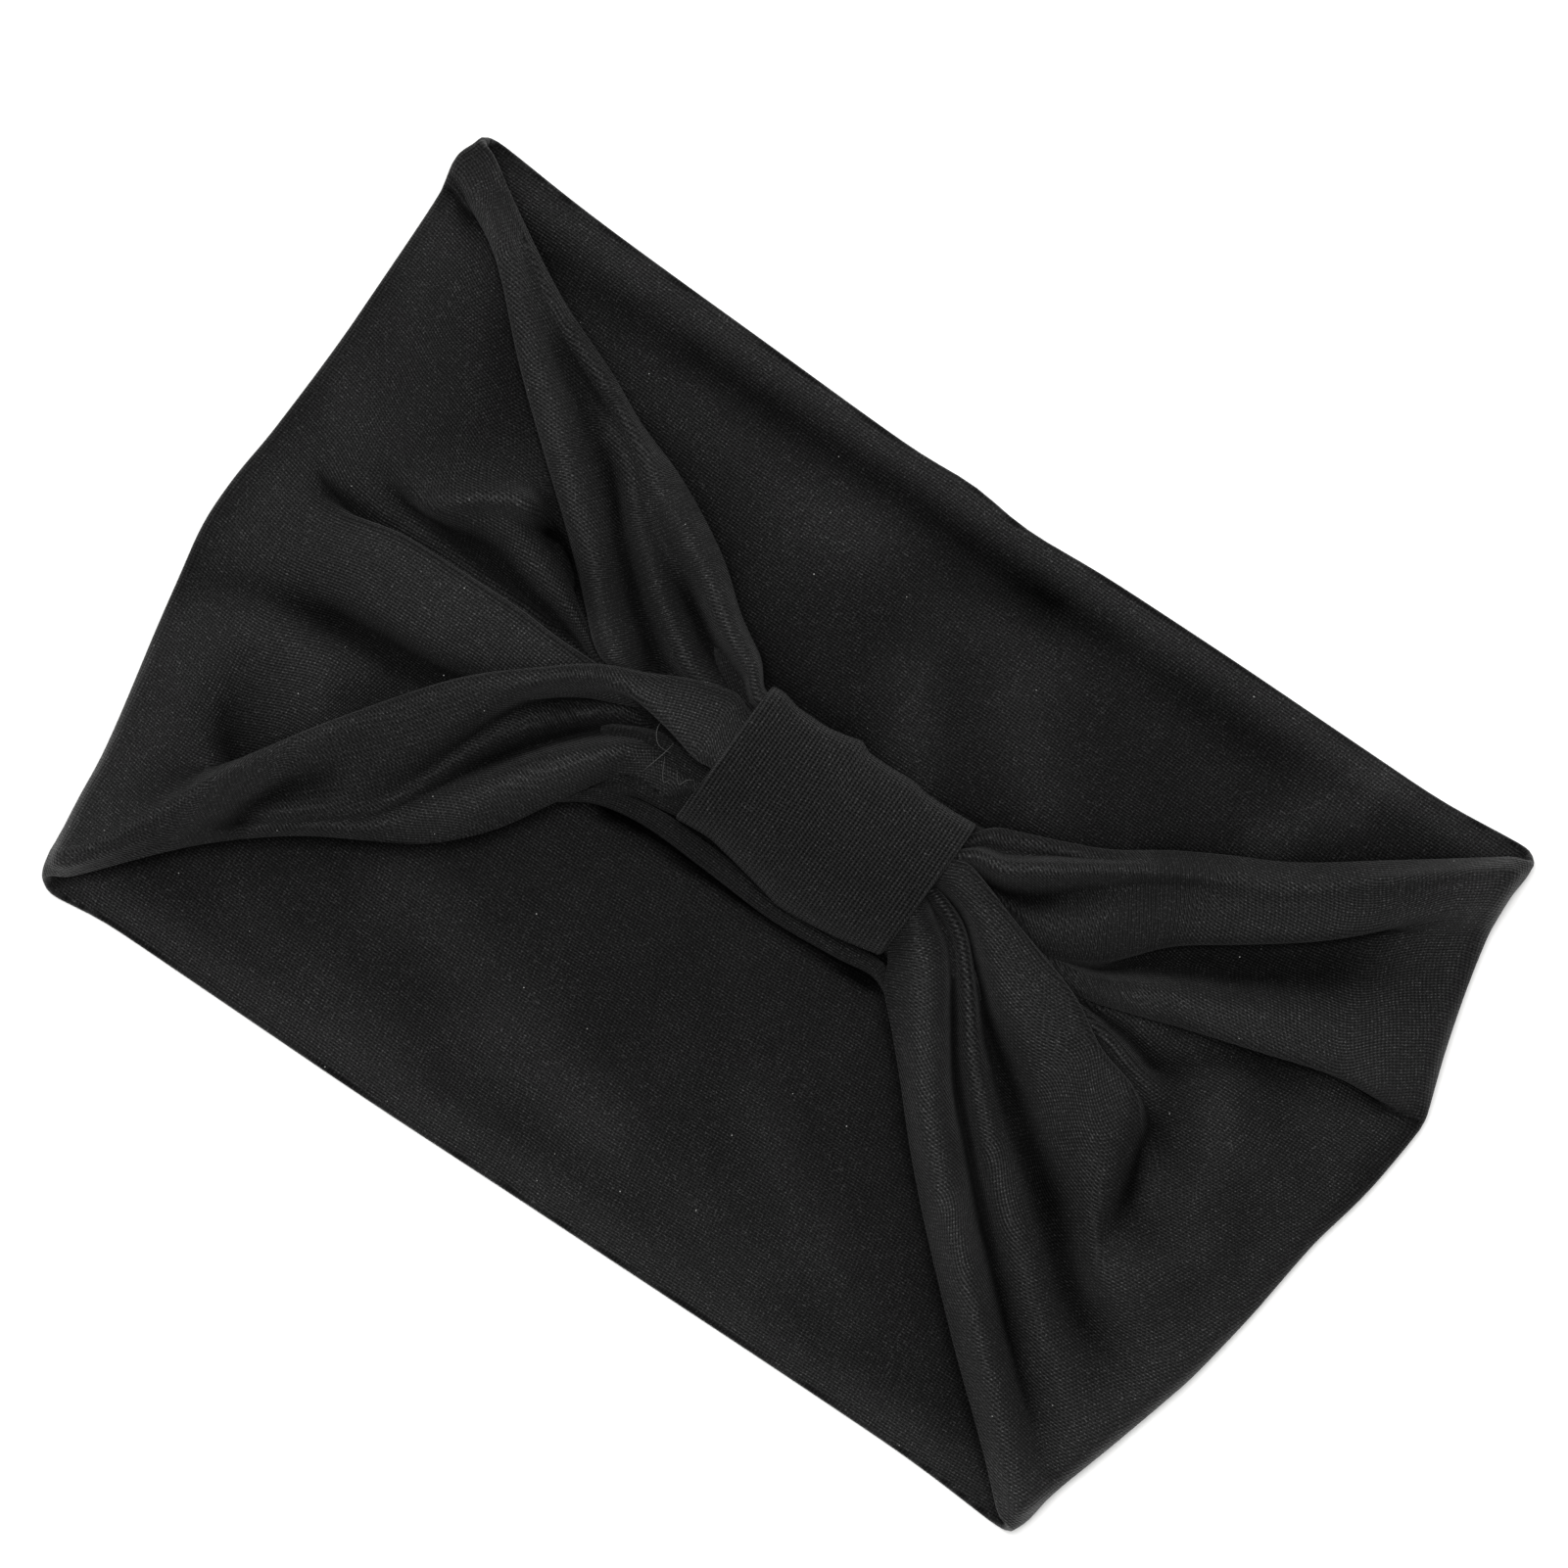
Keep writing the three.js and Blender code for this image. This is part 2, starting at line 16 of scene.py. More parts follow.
import bpy
import numpy as np
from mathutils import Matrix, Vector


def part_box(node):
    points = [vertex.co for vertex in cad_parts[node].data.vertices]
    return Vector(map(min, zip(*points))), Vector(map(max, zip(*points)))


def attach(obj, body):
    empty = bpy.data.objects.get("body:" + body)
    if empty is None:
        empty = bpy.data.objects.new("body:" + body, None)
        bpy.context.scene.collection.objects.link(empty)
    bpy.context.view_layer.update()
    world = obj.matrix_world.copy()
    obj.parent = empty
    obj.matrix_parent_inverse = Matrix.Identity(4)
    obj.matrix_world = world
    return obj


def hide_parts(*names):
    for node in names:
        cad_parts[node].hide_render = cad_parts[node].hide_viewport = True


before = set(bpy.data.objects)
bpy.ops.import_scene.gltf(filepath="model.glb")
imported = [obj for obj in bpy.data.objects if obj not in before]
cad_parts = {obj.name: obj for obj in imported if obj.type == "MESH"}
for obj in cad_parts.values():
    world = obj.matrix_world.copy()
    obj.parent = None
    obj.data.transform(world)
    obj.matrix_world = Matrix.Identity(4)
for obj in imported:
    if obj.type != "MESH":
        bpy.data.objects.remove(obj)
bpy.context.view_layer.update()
MM_IN_METRE = 1000
wrap_box = [[MM_IN_METRE * value for value in corner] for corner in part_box("knot_wrap")]
print("wrap, in mm:", np.round(wrap_box, 1).tolist())

# %% [markdown]
# ## Curves through a few given points
#
# Cloth folds are soft, so every outline and fold line is a smooth curve through a few points.
# An ordinary spline would swing past its points and push one layer of cloth through the next.
# The curve below never swings past them: its slope at a point is the harmonic mean of the
# slopes on its two sides, and zero where the line turns.

# %% Curves that never overshoot
def smooth_through(xs, ys):
    """Returns y(x): cubic pieces through the points, flat at each turning point."""
    order = np.argsort(xs)
    x, y = np.asarray(xs, float)[order], np.asarray(ys, float)[order]
    rise = np.diff(y) / np.diff(x)
    product = rise[:-1] * rise[1:]
    total = np.where(product > 0, rise[:-1] + rise[1:], 1.0)
    inner = np.where(product > 0, 2 * product / total, 0.0)
    slope = np.concatenate([rise[:1], inner, rise[-1:]])

    def curve(at):
        at = np.clip(at, x[0], x[-1])
        i = np.clip(np.searchsorted(x, at, side="right") - 1, 0, len(x) - 2)
        span = x[i + 1] - x[i]
        t = (at - x[i]) / span
        start = y[i] * (1 + 2 * t) * (1 - t) ** 2 + slope[i] * span * t * (1 - t) ** 2
        end = y[i + 1] * t * t * (3 - 2 * t) + slope[i + 1] * span * t * t * (t - 1)
        return start + end

    return curve


def smoothstep(value, low, high):
    """Rises from 0 at low to 1 at high along 3t^2 - 2t^3, and falls if high is below low."""
    t = np.clip((value - low) / (high - low), 0, 1)
    return t * t * (3 - 2 * t)


def mix(a, b, share):
    """Goes straight from a to b as share goes from 0 to 1."""
    return a + (b - a) * share


def bell(value, centre, width):
    """Returns exp(-((value - centre) / width)^2), a smooth bump one high."""
    return np.exp(-(((value - centre) / width) ** 2))


print("a bell curve one width from its centre:", round(float(bell(1, 0, 1)), 3))

# %% [markdown]
# ## The sizes of the cloth
#
# All sizes are in millimetres and are turned to metres when a mesh is made. Two layers of this
# jersey make a wall about one and a half millimetres thick. Where a fold doubles back on
# itself its layers lie `LAYER_STEP` apart, from the middle of one to the middle of the next.
# The outline of the band is four smooth curves, each through a short table of points.

# %% Cloth sizes and the outline
CLOTH_WALL = 1.4
LAYER_STEP = 2.3
END_FOLD_HEIGHT = 7.2

Outline = namedtuple("Outline", "y x")
LEFT_END = Outline(
    y=(-84, -70, -55, -42, -20, -3, 15, 40, 66, 75, 79.5, 84),
    x=(-115.8, -119, -120.5, -123, -127.5, -130, -128.5, -127.5, -127.5, -128.5, -127.2, -126.8),
)
RIGHT_END = Outline(
    y=(-83, -70, -50, -30, 0, 10, 26, 40, 54, 62, 76, 84),
    x=(107.6, 111, 117, 122, 126, 128.3, 130, 125.8, 122, 120, 119, 119.6),
)
UPPER_EDGE = Outline(
    x=(-126, -100, -60, -20, -12, 1, 20, 60, 95, 110, 119),
    y=(83.5, 81.5, 80.2, 79.2, 80.3, 78.5, 79.7, 80.2, 80.2, 81.5, 82.5),
)
LOWER_EDGE = Outline(
    x=(-115, -110, -103, -50, 0, 80, 103, 108),
    y=(-83.6, -82.8, -81.7, -81.7, -81, -80.2, -81.3, -81.8),
)
upper_edge_y = smooth_through(UPPER_EDGE.x, UPPER_EDGE.y)
lower_edge_y = smooth_through(LOWER_EDGE.x, LOWER_EDGE.y)
left_end_x = smooth_through(LEFT_END.y, LEFT_END.x)
right_end_x = smooth_through(RIGHT_END.y, RIGHT_END.x)
print("band, in mm:", max(RIGHT_END.x) - min(LEFT_END.x), "by", UPPER_EDGE.y[0] - LOWER_EDGE.y[0])

# %% [markdown]
# ## The fold lines
#
# A gathered cloth can be simulated, but then its folds fall where they like. Here each fold has
# its known place, so the cloth is lofted instead: each fold line is a curve from the end of the
# band in to the wrap, and the cloth runs smoothly from one fold line to the next.
#
# A row of a table is one fold line, from the upper edge of the wing to its lower one. Its `y` is
# where the line crosses each of the wing's `at` places along X, and its `z` is the height of the
# cloth's middle there. A fold that overhangs has a `Lip`: the cloth turns back under it by
# `tuck`, the fold faces `faces` along Y, and it overhangs from `start` to `stop` along X.

# %% Fold tables of the two wings
Lip = namedtuple("Lip", "tuck faces start stop")
Fold = namedtuple("Fold", "name y z lip", defaults=(None,))
Wing = namedtuple("Wing", "side end_x at folds")

LEFT_FOLDS = (
    Fold("upper edge", (84, 73.9, 64.6, 58.6, 53.8, 50.4, 45.6, 40.8, 34.4, 28.6),
         (6.3, 8, 8.6, 8.6, 8.6, 8.6, 8.6, 8.6, 8.6, 8.8)),
    Fold("upper roll", (82, 73, 62.8, 56.8, 52, 46.6, 41.6, 36.6, 31.2, 26.8),
         (6.3, 9, 10.4, 10.8, 11.4, 12.6, 13, 13, 13, 12.8)),
    Fold("groove", (80.6, 72.4, 61.2, 54.6, 50.2, 41.5, 35.2, 30.6, 26.2, 23.6),
         (6.3, 9.4, 10.2, 10, 10.4, 11.2, 9.2, 6.8, 6, 6.5)),
    Fold("middle ridge", (79.8, 71.7, 59.8, 52.6, 48, 38.2, 30.2, 25, 20.8, 20),
         (6.3, 10, 10.8, 11, 11.2, 12.4, 12.2, 11.6, 10.6, 8)),
    Fold("long valley", (78.9, 70.9, 58, 49, 43.6, 33.2, 24.6, 19.6, 18, 18),
         (6.3, 10.6, 11.2, 10.6, 9, 8.8, 8, 6.8, 7, 7)),
    Fold("upper crest", (77.8, 69, 54.6, 42, 33, 24.2, 16.2, 14.8, 16.2, 17.4),
         (6.3, 12, 13.2, 13.6, 13.4, 13.4, 12.6, 7.4, 7, 7)),
    Fold("upper lip", (76.4, 66.6, 50.8, 38.2, 30, 21, 13.4, 13.6, 15.4, 16.9),
         (6.3, 12, 12.4, 12.2, 12, 12, 11.4, 7.2, 7, 7),
         Lip(tuck=6, faces=-1, start=-129, stop=-46)),
    Fold("shoulder", (72.6, 56, 36, 33, 29, 19.6, 13, 13.2, 15, 16.6),
         (6.3, 7.8, 7.6, 8.2, 6.6, 6.4, 6.6, 7, 7, 7)),
    Fold("arch", (50, 34, 21, 29, 27.4, 18.9, 12.7, 12.9, 14.8, 16.4),
         (6.3, 8, 10, 11.4, 7.4, 6.6, 6.8, 7, 7, 7)),
    Fold("pocket", (46, 31, 19.6, 26.6, 25.6, 18.3, 12.4, 12.7, 14.6, 16.2),
         (6.3, 8, 9.6, 9.4, 5.4, 5.8, 6.4, 7, 7, 7)),
    Fold("inner ridge", (42, 26, 18.6, 22.6, 20.8, 17.2, 12.1, 12.5, 14.5, 16),
         (6.3, 8.2, 9.2, 8.8, 8.8, 8.4, 7, 7, 7, 7)),
    Fold("dark valley", (34, 20, 16.6, 16.4, 14.6, 13.4, 11.8, 12.3, 14.3, 15.8),
         (6.3, 8.4, 5.6, 4.2, 4.2, 4.4, 5.8, 7, 7, 7)),
    Fold("rim", (26, 12.6, 13.6, 12.8, 12.8, 12.1, 11.4, 12.1, 14.1, 15.6),
         (6.3, 7.8, 8, 7.6, 7, 6.6, 6.6, 7, 7, 7)),
    Fold("crease lip", (10, 7.4, 10.8, 11.3, 11.6, 11, 10.8, 11.9, 13.9, 15.4),
         (6.3, 8.6, 10.4, 10.6, 10.4, 9.8, 8.4, 7.2, 7, 7),
         Lip(tuck=1.8, faces=1, start=-119, stop=-50)),
    Fold("panel crest", (4, 3.4, 7, 7.6, 7.8, 7.8, 9.4, 11.5, 13.6, 15.1),
         (6.3, 9.4, 11, 11.2, 11, 10.4, 8.4, 7.2, 7, 7)),
    Fold("panel flank", (-8, -6, -4.4, -3.2, -1.6, 2.6, 8.6, 11.1, 13.3, 14.9),
         (6.3, 8.8, 9.6, 9.4, 9, 8.4, 7.4, 7, 7, 7)),
    Fold("panel valley", (-20, -13, -9.2, -7.6, -5.6, 0, 7.8, 10.7, 13, 14.7),
         (6.3, 7, 5.4, 5, 5, 5.4, 6.2, 6.8, 7, 7)),
    Fold("panel bump", (-34, -19.5, -15.5, -13, -7.6, -1.6, 7.2, 10.3, 12.7, 14.5),
         (6.3, 8.8, 8.6, 7, 6, 5.6, 6.2, 6.8, 7, 7)),
    Fold("lower lip", (-90, -70.5, -38.8, -16.8, -4.5, 4.2, 11.8, 15.2, 19.2, 22.2),
         (6.3, 12.4, 13, 13, 13, 13, 12.4, 11.6, 11, 10.8),
         Lip(tuck=6, faces=1, start=-113, stop=-5)),
    Fold("strip", (-90.6, -71.4, -40, -18, -5.8, 3, 10.9, 13.4, 14.8, 15.4),
         (6.3, 13, 13.6, 13.6, 13.6, 13.8, 13.8, 13.2, 12.6, 12.4)),
    Fold("strip lip", (-91.3, -72.4, -42, -20, -7.6, 1.2, 9.6, 10.9, 9.8, 7.2),
         (6.3, 13.2, 13.4, 13.4, 13.6, 13.8, 14, 14, 13.8, 13.2),
         Lip(tuck=3, faces=-1, start=-49, stop=-5)),
    Fold("lower face", (-92.5, -74, -48, -29, -18, -0.4, 7.4, 9.8, 8.8, 6.4),
         (6.3, 12.6, 12.6, 12.2, 12.2, 12.4, 11.6, 8.6, 7.4, 7.2)),
    Fold("dip", (-93.2, -75.2, -52, -39.6, -29.5, -4.2, 4.6, 9.2, 8.4, 6),
         (6.3, 12, 11.8, 11.4, 10.2, 8.2, 6.6, 6, 6, 6.6)),
    Fold("fine ridge", (-93.9, -76, -54, -42.4, -34, -11, -0.2, 6.4, 7.4, 5.4),
         (6.3, 11, 11, 10.8, 10.6, 10, 8.8, 7.6, 5.6, 5.8)),
    Fold("deep valley", (-94.6, -76.6, -55.6, -44, -36.4, -18.4, -5, 2.8, 6, 4),
         (6.3, 10, 10.2, 10, 10, 7.2, 4.6, 4.2, 4.6, 5.2)),
    Fold("lower crest", (-95.3, -77.2, -57.2, -45.4, -38.8, -26, -10.8, -2.6, 3, 1.4),
         (6.3, 9.2, 9.8, 10, 10.4, 11.2, 11.6, 11.4, 8.6, 7.8)),
    Fold("lower edge", (-96, -77.9, -59, -46.8, -41, -35.2, -25.2, -12, -1.4, -2),
         (6.3, 8.2, 8.6, 8.6, 8.8, 8.6, 8.6, 8.6, 7.8, 7.2)),
)
LEFT_WING = Wing(
    side=-1, end_x=left_end_x, folds=LEFT_FOLDS,
    at=(-128, -112, -95, -80, -70, -60, -50, -42, -34, -24),
)
RIGHT_FOLDS = (
    Fold("upper edge", (89, 77.1, 64.8, 54.2, 49, 43.4, 36.8, 33.2, 30, 26.8),
         (6.3, 8, 8.8, 9, 9, 9, 9, 9, 9, 9)),
    Fold("tab", (88.3, 76.2, 63.4, 52.6, 47.6, 42, 35.6, 31.8, 28.4, 25.4),
         (6.3, 9.6, 10.4, 10.6, 10.6, 10.6, 10.4, 10.6, 11, 11.2)),
    Fold("tab crease", (87.6, 75.4, 62, 51, 46.4, 41, 34.6, 30.4, 25.4, 23.6),
         (6.3, 10.6, 11.4, 11.6, 11.6, 11.6, 10.6, 8.6, 8.2, 8.6)),
    Fold("roll", (87, 74.4, 60.6, 49.2, 44.6, 39.2, 33, 27.8, 23, 22),
         (6.3, 11.6, 12.4, 12.6, 12.8, 13, 13.4, 13.6, 13.4, 13)),
    Fold("upper valley", (86.3, 73, 58.4, 46.8, 42, 36.4, 28, 21, 18.9, 20.4),
         (6.3, 12, 12.4, 12.4, 12, 11.2, 9.2, 7.4, 6.6, 8.4)),
    Fold("upper body", (85.4, 70.6, 54, 42.6, 37, 29, 20.6, 17.8, 17.9, 20),
         (6.3, 12.6, 12.8, 12.6, 12.4, 12.2, 11.2, 8.6, 7.2, 8.4)),
    Fold("upper lip", (84.6, 67, 48.3, 36.8, 29.7, 19.3, 14.8, 17.2, 17.5, 19.8),
         (6.3, 12, 12, 11.4, 11, 10.2, 9.2, 8, 7.2, 8.4),
         Lip(tuck=2.5, faces=-1, start=113, stop=58)),
    Fold("ledge", (78, 60, 45, 34, 27.4, 17.8, 14.2, 16.8, 17.2, 19.6),
         (6.3, 8.6, 6.8, 6, 6.2, 7, 8, 7.8, 7.2, 8.4)),
    Fold("middle shade", (62, 50, 39.5, 30, 23.6, 16.4, 13.7, 16.4, 16.9, 19.4),
         (6.3, 8, 6, 5, 5.2, 6.2, 7.8, 7.6, 7.2, 8.4)),
    Fold("middle crest", (44, 34.5, 28.4, 22.2, 18.2, 14.2, 13.3, 16, 16.6, 19.2),
         (6.3, 11.6, 12, 11.4, 10.8, 9.4, 8, 7.4, 7.2, 8.4)),
    Fold("middle lip", (28.8, 27, 22.2, 17.6, 14.3, 11.8, 12.9, 15.6, 16.3, 19),
         (6.3, 11, 11.6, 10.8, 10, 8.8, 7.8, 7.4, 7.2, 8.4),
         Lip(tuck=3.5, faces=-1, start=129, stop=58)),
    Fold("hollow", (26.4, 21.6, 18.6, 13.4, 12, 10.8, 12.4, 15.2, 16, 18.8),
         (6.3, 7, 6, 7.4, 7.2, 6.4, 7.4, 7.2, 7.2, 8.4)),
    Fold("curl crease", (14, 13, 12, 8.4, 9.8, 9.8, 12, 14.8, 15.7, 18.6),
         (6.3, 8, 8.2, 6, 5.2, 6, 7.2, 7.2, 7.2, 8.4)),
    Fold("curl", (8, 6, 4, 5, 7.4, 9, 11.6, 14.4, 15.4, 18.4),
         (6.3, 8.6, 8.8, 8, 8.4, 7.6, 7, 7, 7.2, 8.4)),
    Fold("curl foot", (-2, -4, -6, 2.4, 5, 8.2, 11.2, 14, 15.1, 18.2),
         (6.3, 8.4, 9.2, 7.4, 7, 7, 6.8, 6.8, 7, 8)),
    Fold("long lip", (-20, -20, -18, 1.3, 4.2, 9.8, 13, 15.3, 18, 20.3),
         (6.3, 8.6, 9.4, 11.4, 12.2, 12.8, 12.8, 12.8, 12.8, 12.6),
         Lip(tuck=3, faces=1, start=86, stop=5)),
    Fold("long ridge", (-40, -36, -31, -11, -3.4, 3, 8.2, 11.6, 15.4, 17.8),
         (6.3, 9.4, 11, 12.4, 13.2, 13.6, 13.8, 13.8, 13.8, 13.4)),
    Fold("long slope", (-48, -42, -35, -20, -11.6, -4.6, 1.4, 7.4, 13, 15.2),
         (6.3, 8.8, 8.6, 9.6, 11, 11.8, 12, 12.2, 12.4, 12)),
    Fold("long valley", (-58, -48, -39.4, -27.4, -19.8, -12.4, -4.6, 3.4, 10.6, 13.2),
         (6.3, 8.4, 7, 6.2, 6, 5.8, 5.2, 5, 5.6, 7.4)),
    Fold("thin ridge", (-72, -60, -49, -37, -28.8, -19.8, -9.4, 0.8, 8.8, 12),
         (6.3, 9, 10.4, 10.2, 10, 9.8, 9.4, 9.2, 9.2, 9.6)),
    Fold("lower valley", (-83, -71, -58, -44.6, -35.2, -25.6, -15.6, -4.4, 6, 9.8),
         (6.3, 8.8, 8, 6.8, 5.8, 5.2, 4.8, 4.8, 5.4, 7)),
    Fold("outer shoulder", (-88, -75.4, -61.2, -48, -38.8, -29, -18.8, -8, 2.8, 7.8),
         (6.3, 9.8, 10.4, 10.2, 10.2, 10.4, 10.6, 10.8, 10.8, 10.2)),
    Fold("outer roll", (-95, -81.6, -65.6, -52.2, -43, -34.4, -24.6, -15, -4, 5),
         (6.3, 10.6, 12, 12.6, 13, 13.2, 13.2, 13, 12.6, 11.6)),
    Fold("lower edge", (-99, -86.5, -71, -58.3, -49.3, -40, -30, -21.2, -13, -5.4),
         (6.3, 8, 8.6, 8.8, 8.8, 8.8, 8.8, 8.8, 8.6, 8.2)),
)
RIGHT_WING = Wing(
    side=1, end_x=right_end_x, folds=RIGHT_FOLDS,
    at=(128, 112, 95, 80, 70, 60, 50, 42, 34, 26),
)
for wing_name, wing in (("left", LEFT_WING), ("right", RIGHT_WING)):
    lips = [fold.name for fold in wing.folds if fold.lip]
    print(wing_name, "wing:", len(wing.folds), "fold lines, with lips at", ", ".join(lips))

# %% [markdown]
# ## Lips, where the cloth turns back under itself
#
# The brightest lines on the real headband are folds that overhang: the cloth comes to a nose,
# steps down one thickness, runs back underneath, and turns forward again. A height map can't
# show that, so each lip becomes four lines of the loft. Where a lip is closed the four lie
# spread out flat on the cloth, and they step down and run back as it opens.

# %% The lines that the cloth runs through
FOLD_RADIUS = (END_FOLD_HEIGHT - CLOTH_WALL) / 2
START_GUESS, START_STEPS = 120.0, 12

# The three lines that follow a lip's nose, in the words of lip_line.
Turn = namedtuple("Turn", "share back down")
LIP_TURNS = (Turn(0.2, 0, 1), Turn(0.4, 1, 1), Turn(0.6, 1, 2))

# A lip steps down and then runs back, each over its own stretch in mm after the lip's start, and
# each is undone over its own stretch before the lip's end.
Stretch = namedtuple("Stretch", "after_start before_end")
STEP_DOWN = Stretch((0, 10), (0, 9))
RUN_BACK = Stretch((4, 20), (4, 14))


def fold_line(wing, k):
    """Returns the curve of fold k: its y and z where it crosses x."""
    y = smooth_through(wing.at, wing.folds[k].y)
    z = smooth_through(wing.at, wing.folds[k].z)
    return lambda x: (y(x), z(x))


def opened(along, length, stretch):
    """Rises from 0 to 1 over the stretch after a lip's start, and falls again before its end."""
    return smoothstep(along, *stretch.after_start) * smoothstep(length - along, *stretch.before_end)


def lip_line(wing, k, share, back, down):
    """Returns one more line of the lip of fold k.

    Closed, it lies a share of the way to the next fold. Open, it is `back` tucks behind the
    nose and `down` layers under it.
    """
    lip = wing.folds[k].lip
    nose, beyond = fold_line(wing, k), fold_line(wing, k - lip.faces)
    length = abs(lip.stop - lip.start)

    def line(x):
        along = (x - lip.start) * np.sign(lip.stop - lip.start)
        stepped, run_back = opened(along, length, STEP_DOWN), opened(along, length, RUN_BACK)
        (y, z), (next_y, next_z) = nose(x), beyond(x)
        return (
            mix(mix(y, next_y, share), y - lip.faces * lip.tuck * back, run_back),
            mix(mix(z, next_z, share), z - LAYER_STEP * down, stepped),
        )

    return line


def cloth_lines(wing):
    """Lists every line of a wing from its upper edge to its lower one, four for each lip."""
    lines = []
    for k, fold in enumerate(wing.folds):
        group = [fold_line(wing, k)]
        if fold.lip:
            group += [lip_line(wing, k, *turn) for turn in LIP_TURNS]
        lines += group[::-1] if fold.lip and fold.lip.faces > 0 else group
    return lines


def where_it_starts(wing, line):
    """Returns x where a line leaves the end fold, stepping to where its y meets the outline."""
    x = START_GUESS * wing.side
    for _ in range(START_STEPS):
        x = float(wing.end_x(line(x)[0])) - wing.side * (FOLD_RADIUS + CLOTH_WALL / 2)
    return x


left_lines, right_lines = cloth_lines(LEFT_WING), cloth_lines(RIGHT_WING)
left_starts = np.array([where_it_starts(LEFT_WING, line) for line in left_lines])
right_starts = np.array([where_it_starts(RIGHT_WING, line) for line in right_lines])
print("lines across the cloth:", len(left_lines), "and", len(right_lines))

# %% [markdown]
# ## The wrap's shape, and the bundle that it squeezes
#
# The wrap is a short strip sewn into a ring round the gathered front. Its section is an oval
# with a flattish top, a superellipse: |y/a|^n + |z/b|^n = 1 with n a little over 2. Its upper
# and lower edges waver where the folds under it press outwards.

# %% The wrap's oval at each x
WRAP_WALL = 1.3
WRAP_CLEARANCE = 0.3
WRAP_SQUARENESS = 2.5
SQUEEZE_REACH = 3.5
WRAP_UPPER = Outline(
    x=(-22, -20, -15, -10, -5, -2, 1, 5, 10, 15, 20, 26),
    y=(27.2, 27.4, 26.5, 26.5, 27.3, 28.0, 27.0, 27.0, 27.3, 26.7, 26.8, 27.2),
)
WRAP_LOWER = Outline(
    x=(-22, -15, -10, -5, 0, 4, 10, 15, 20, 26),
    y=(-4.4, -3.9, -4.6, -5.5, -6.5, -7.2, -6.8, -6.2, -5.3, -4.0),
)
WRAP_LEFT = Outline(y=(-5, 6, 27), x=(-22.5, -22.0, -21.2))
WRAP_RIGHT = Outline(y=(-4, 8, 27), x=(25.0, 25.5, 26.3))
(wrap_left, _, wrap_bottom), (wrap_right, _, wrap_top) = wrap_box
wrap_upper_y = smooth_through(WRAP_UPPER.x, WRAP_UPPER.y)
wrap_lower_y = smooth_through(WRAP_LOWER.x, WRAP_LOWER.y)
wrap_left_x = smooth_through(WRAP_LEFT.y, WRAP_LEFT.x)
wrap_right_x = smooth_through(WRAP_RIGHT.y, WRAP_RIGHT.x)


def wrap_oval(x, inset):
    """Returns the centre (y, z) and half sizes (a, b) of the oval, `inset` inside the outer one."""
    upper, lower = wrap_upper_y(x), wrap_lower_y(x)
    middle = (upper + lower) / 2, (wrap_top + wrap_bottom) / 2 + 0 * upper
    return (*middle, (upper - lower) / 2 - inset, (wrap_top - wrap_bottom) / 2 - inset)


def squeezed(points):
    """Fits points into the wrap's mouth over the last SQUEEZE_REACH before it.

    y is scaled about the oval's centre until the widest rib fits, and z is held under the
    oval's own height at that y, less half the cloth's wall.
    """
    x, y, z = points[..., 0], points[..., 1], points[..., 2]
    y0, z0, a, b = wrap_oval(x, WRAP_WALL + WRAP_CLEARANCE + CLOTH_WALL / 2)
    near = smoothstep(np.maximum(wrap_left - x, x - wrap_right), SQUEEZE_REACH, 0.0)
    widest = np.max(np.abs(y - y0) / a, axis=1, keepdims=True)
    fitted_y = y0 + (y - y0) / np.maximum(widest, 1)
    across = np.clip(np.abs(fitted_y - y0) / a, 0, 1)
    room = b * (1 - across**WRAP_SQUARENESS) ** (1 / WRAP_SQUARENESS)
    fitted_z = z0 + np.clip(z - z0, -room, room)
    return np.stack([x, mix(y, fitted_y, near), mix(z, fitted_z, near)], axis=-1)


print("wrap's left mouth, in mm:", np.round(wrap_oval(np.array(wrap_left), 0), 1).tolist())

# %% [markdown]
# ## Smooth sections between the fold lines
#
# At each x the lines of a wing give one rib of points, and along the rib the cloth is a
# centripetal Catmull-Rom curve: it passes through every point, and its knots are spaced by the
# square root of the distance between points, which keeps it from looping where points lie
# close together, as they do round a lip. Both wings are sampled at the same number of points,
# so that they join, and wide gaps get more of them than narrow ones.

# %% Sections of the wings
ACROSS = 172
WING_RIBS = 78
RIB_SPREAD = 1.12  # over 1, the ribs stand a little closer near the wrap
THROAT_INSET = 2.5
USUAL_WIDTH = 75  # the gap's width that counts, as a percentile over the ribs
LEAST_KNOT = 1e-4


def through_points(ribs, counts):
    """Samples the centripetal Catmull-Rom curve of every rib, counts[k] points in segment k."""
    first, last = 2 * ribs[:, :1] - ribs[:, 1:2], 2 * ribs[:, -1:] - ribs[:, -2:-1]
    p = np.concatenate([first, ribs, last], axis=1)
    gap = np.sqrt(np.linalg.norm(np.diff(p, axis=1), axis=2)) + LEAST_KNOT
    sampled = []
    for k, count in enumerate(counts):
        a, b, c = (gap[:, k + i, None, None] for i in range(3))
        p0, p1, p2, p3 = (p[:, k + i, None, :] for i in range(4))
        start = p2 - p1 + b * ((p1 - p0) / a - (p2 - p0) / (a + b))
        stop = p2 - p1 + b * ((p3 - p2) / c - (p3 - p1) / (b + c))
        t = (np.arange(count) / count)[None, :, None]
        curve = (1 + 2 * t) * (1 - t) ** 2 * p1 + t * (1 - t) ** 2 * start
        sampled.append(curve + t * t * (3 - 2 * t) * p2 - t * t * (1 - t) * stop)
    return np.concatenate([*sampled, ribs[:, -1:]], axis=1)


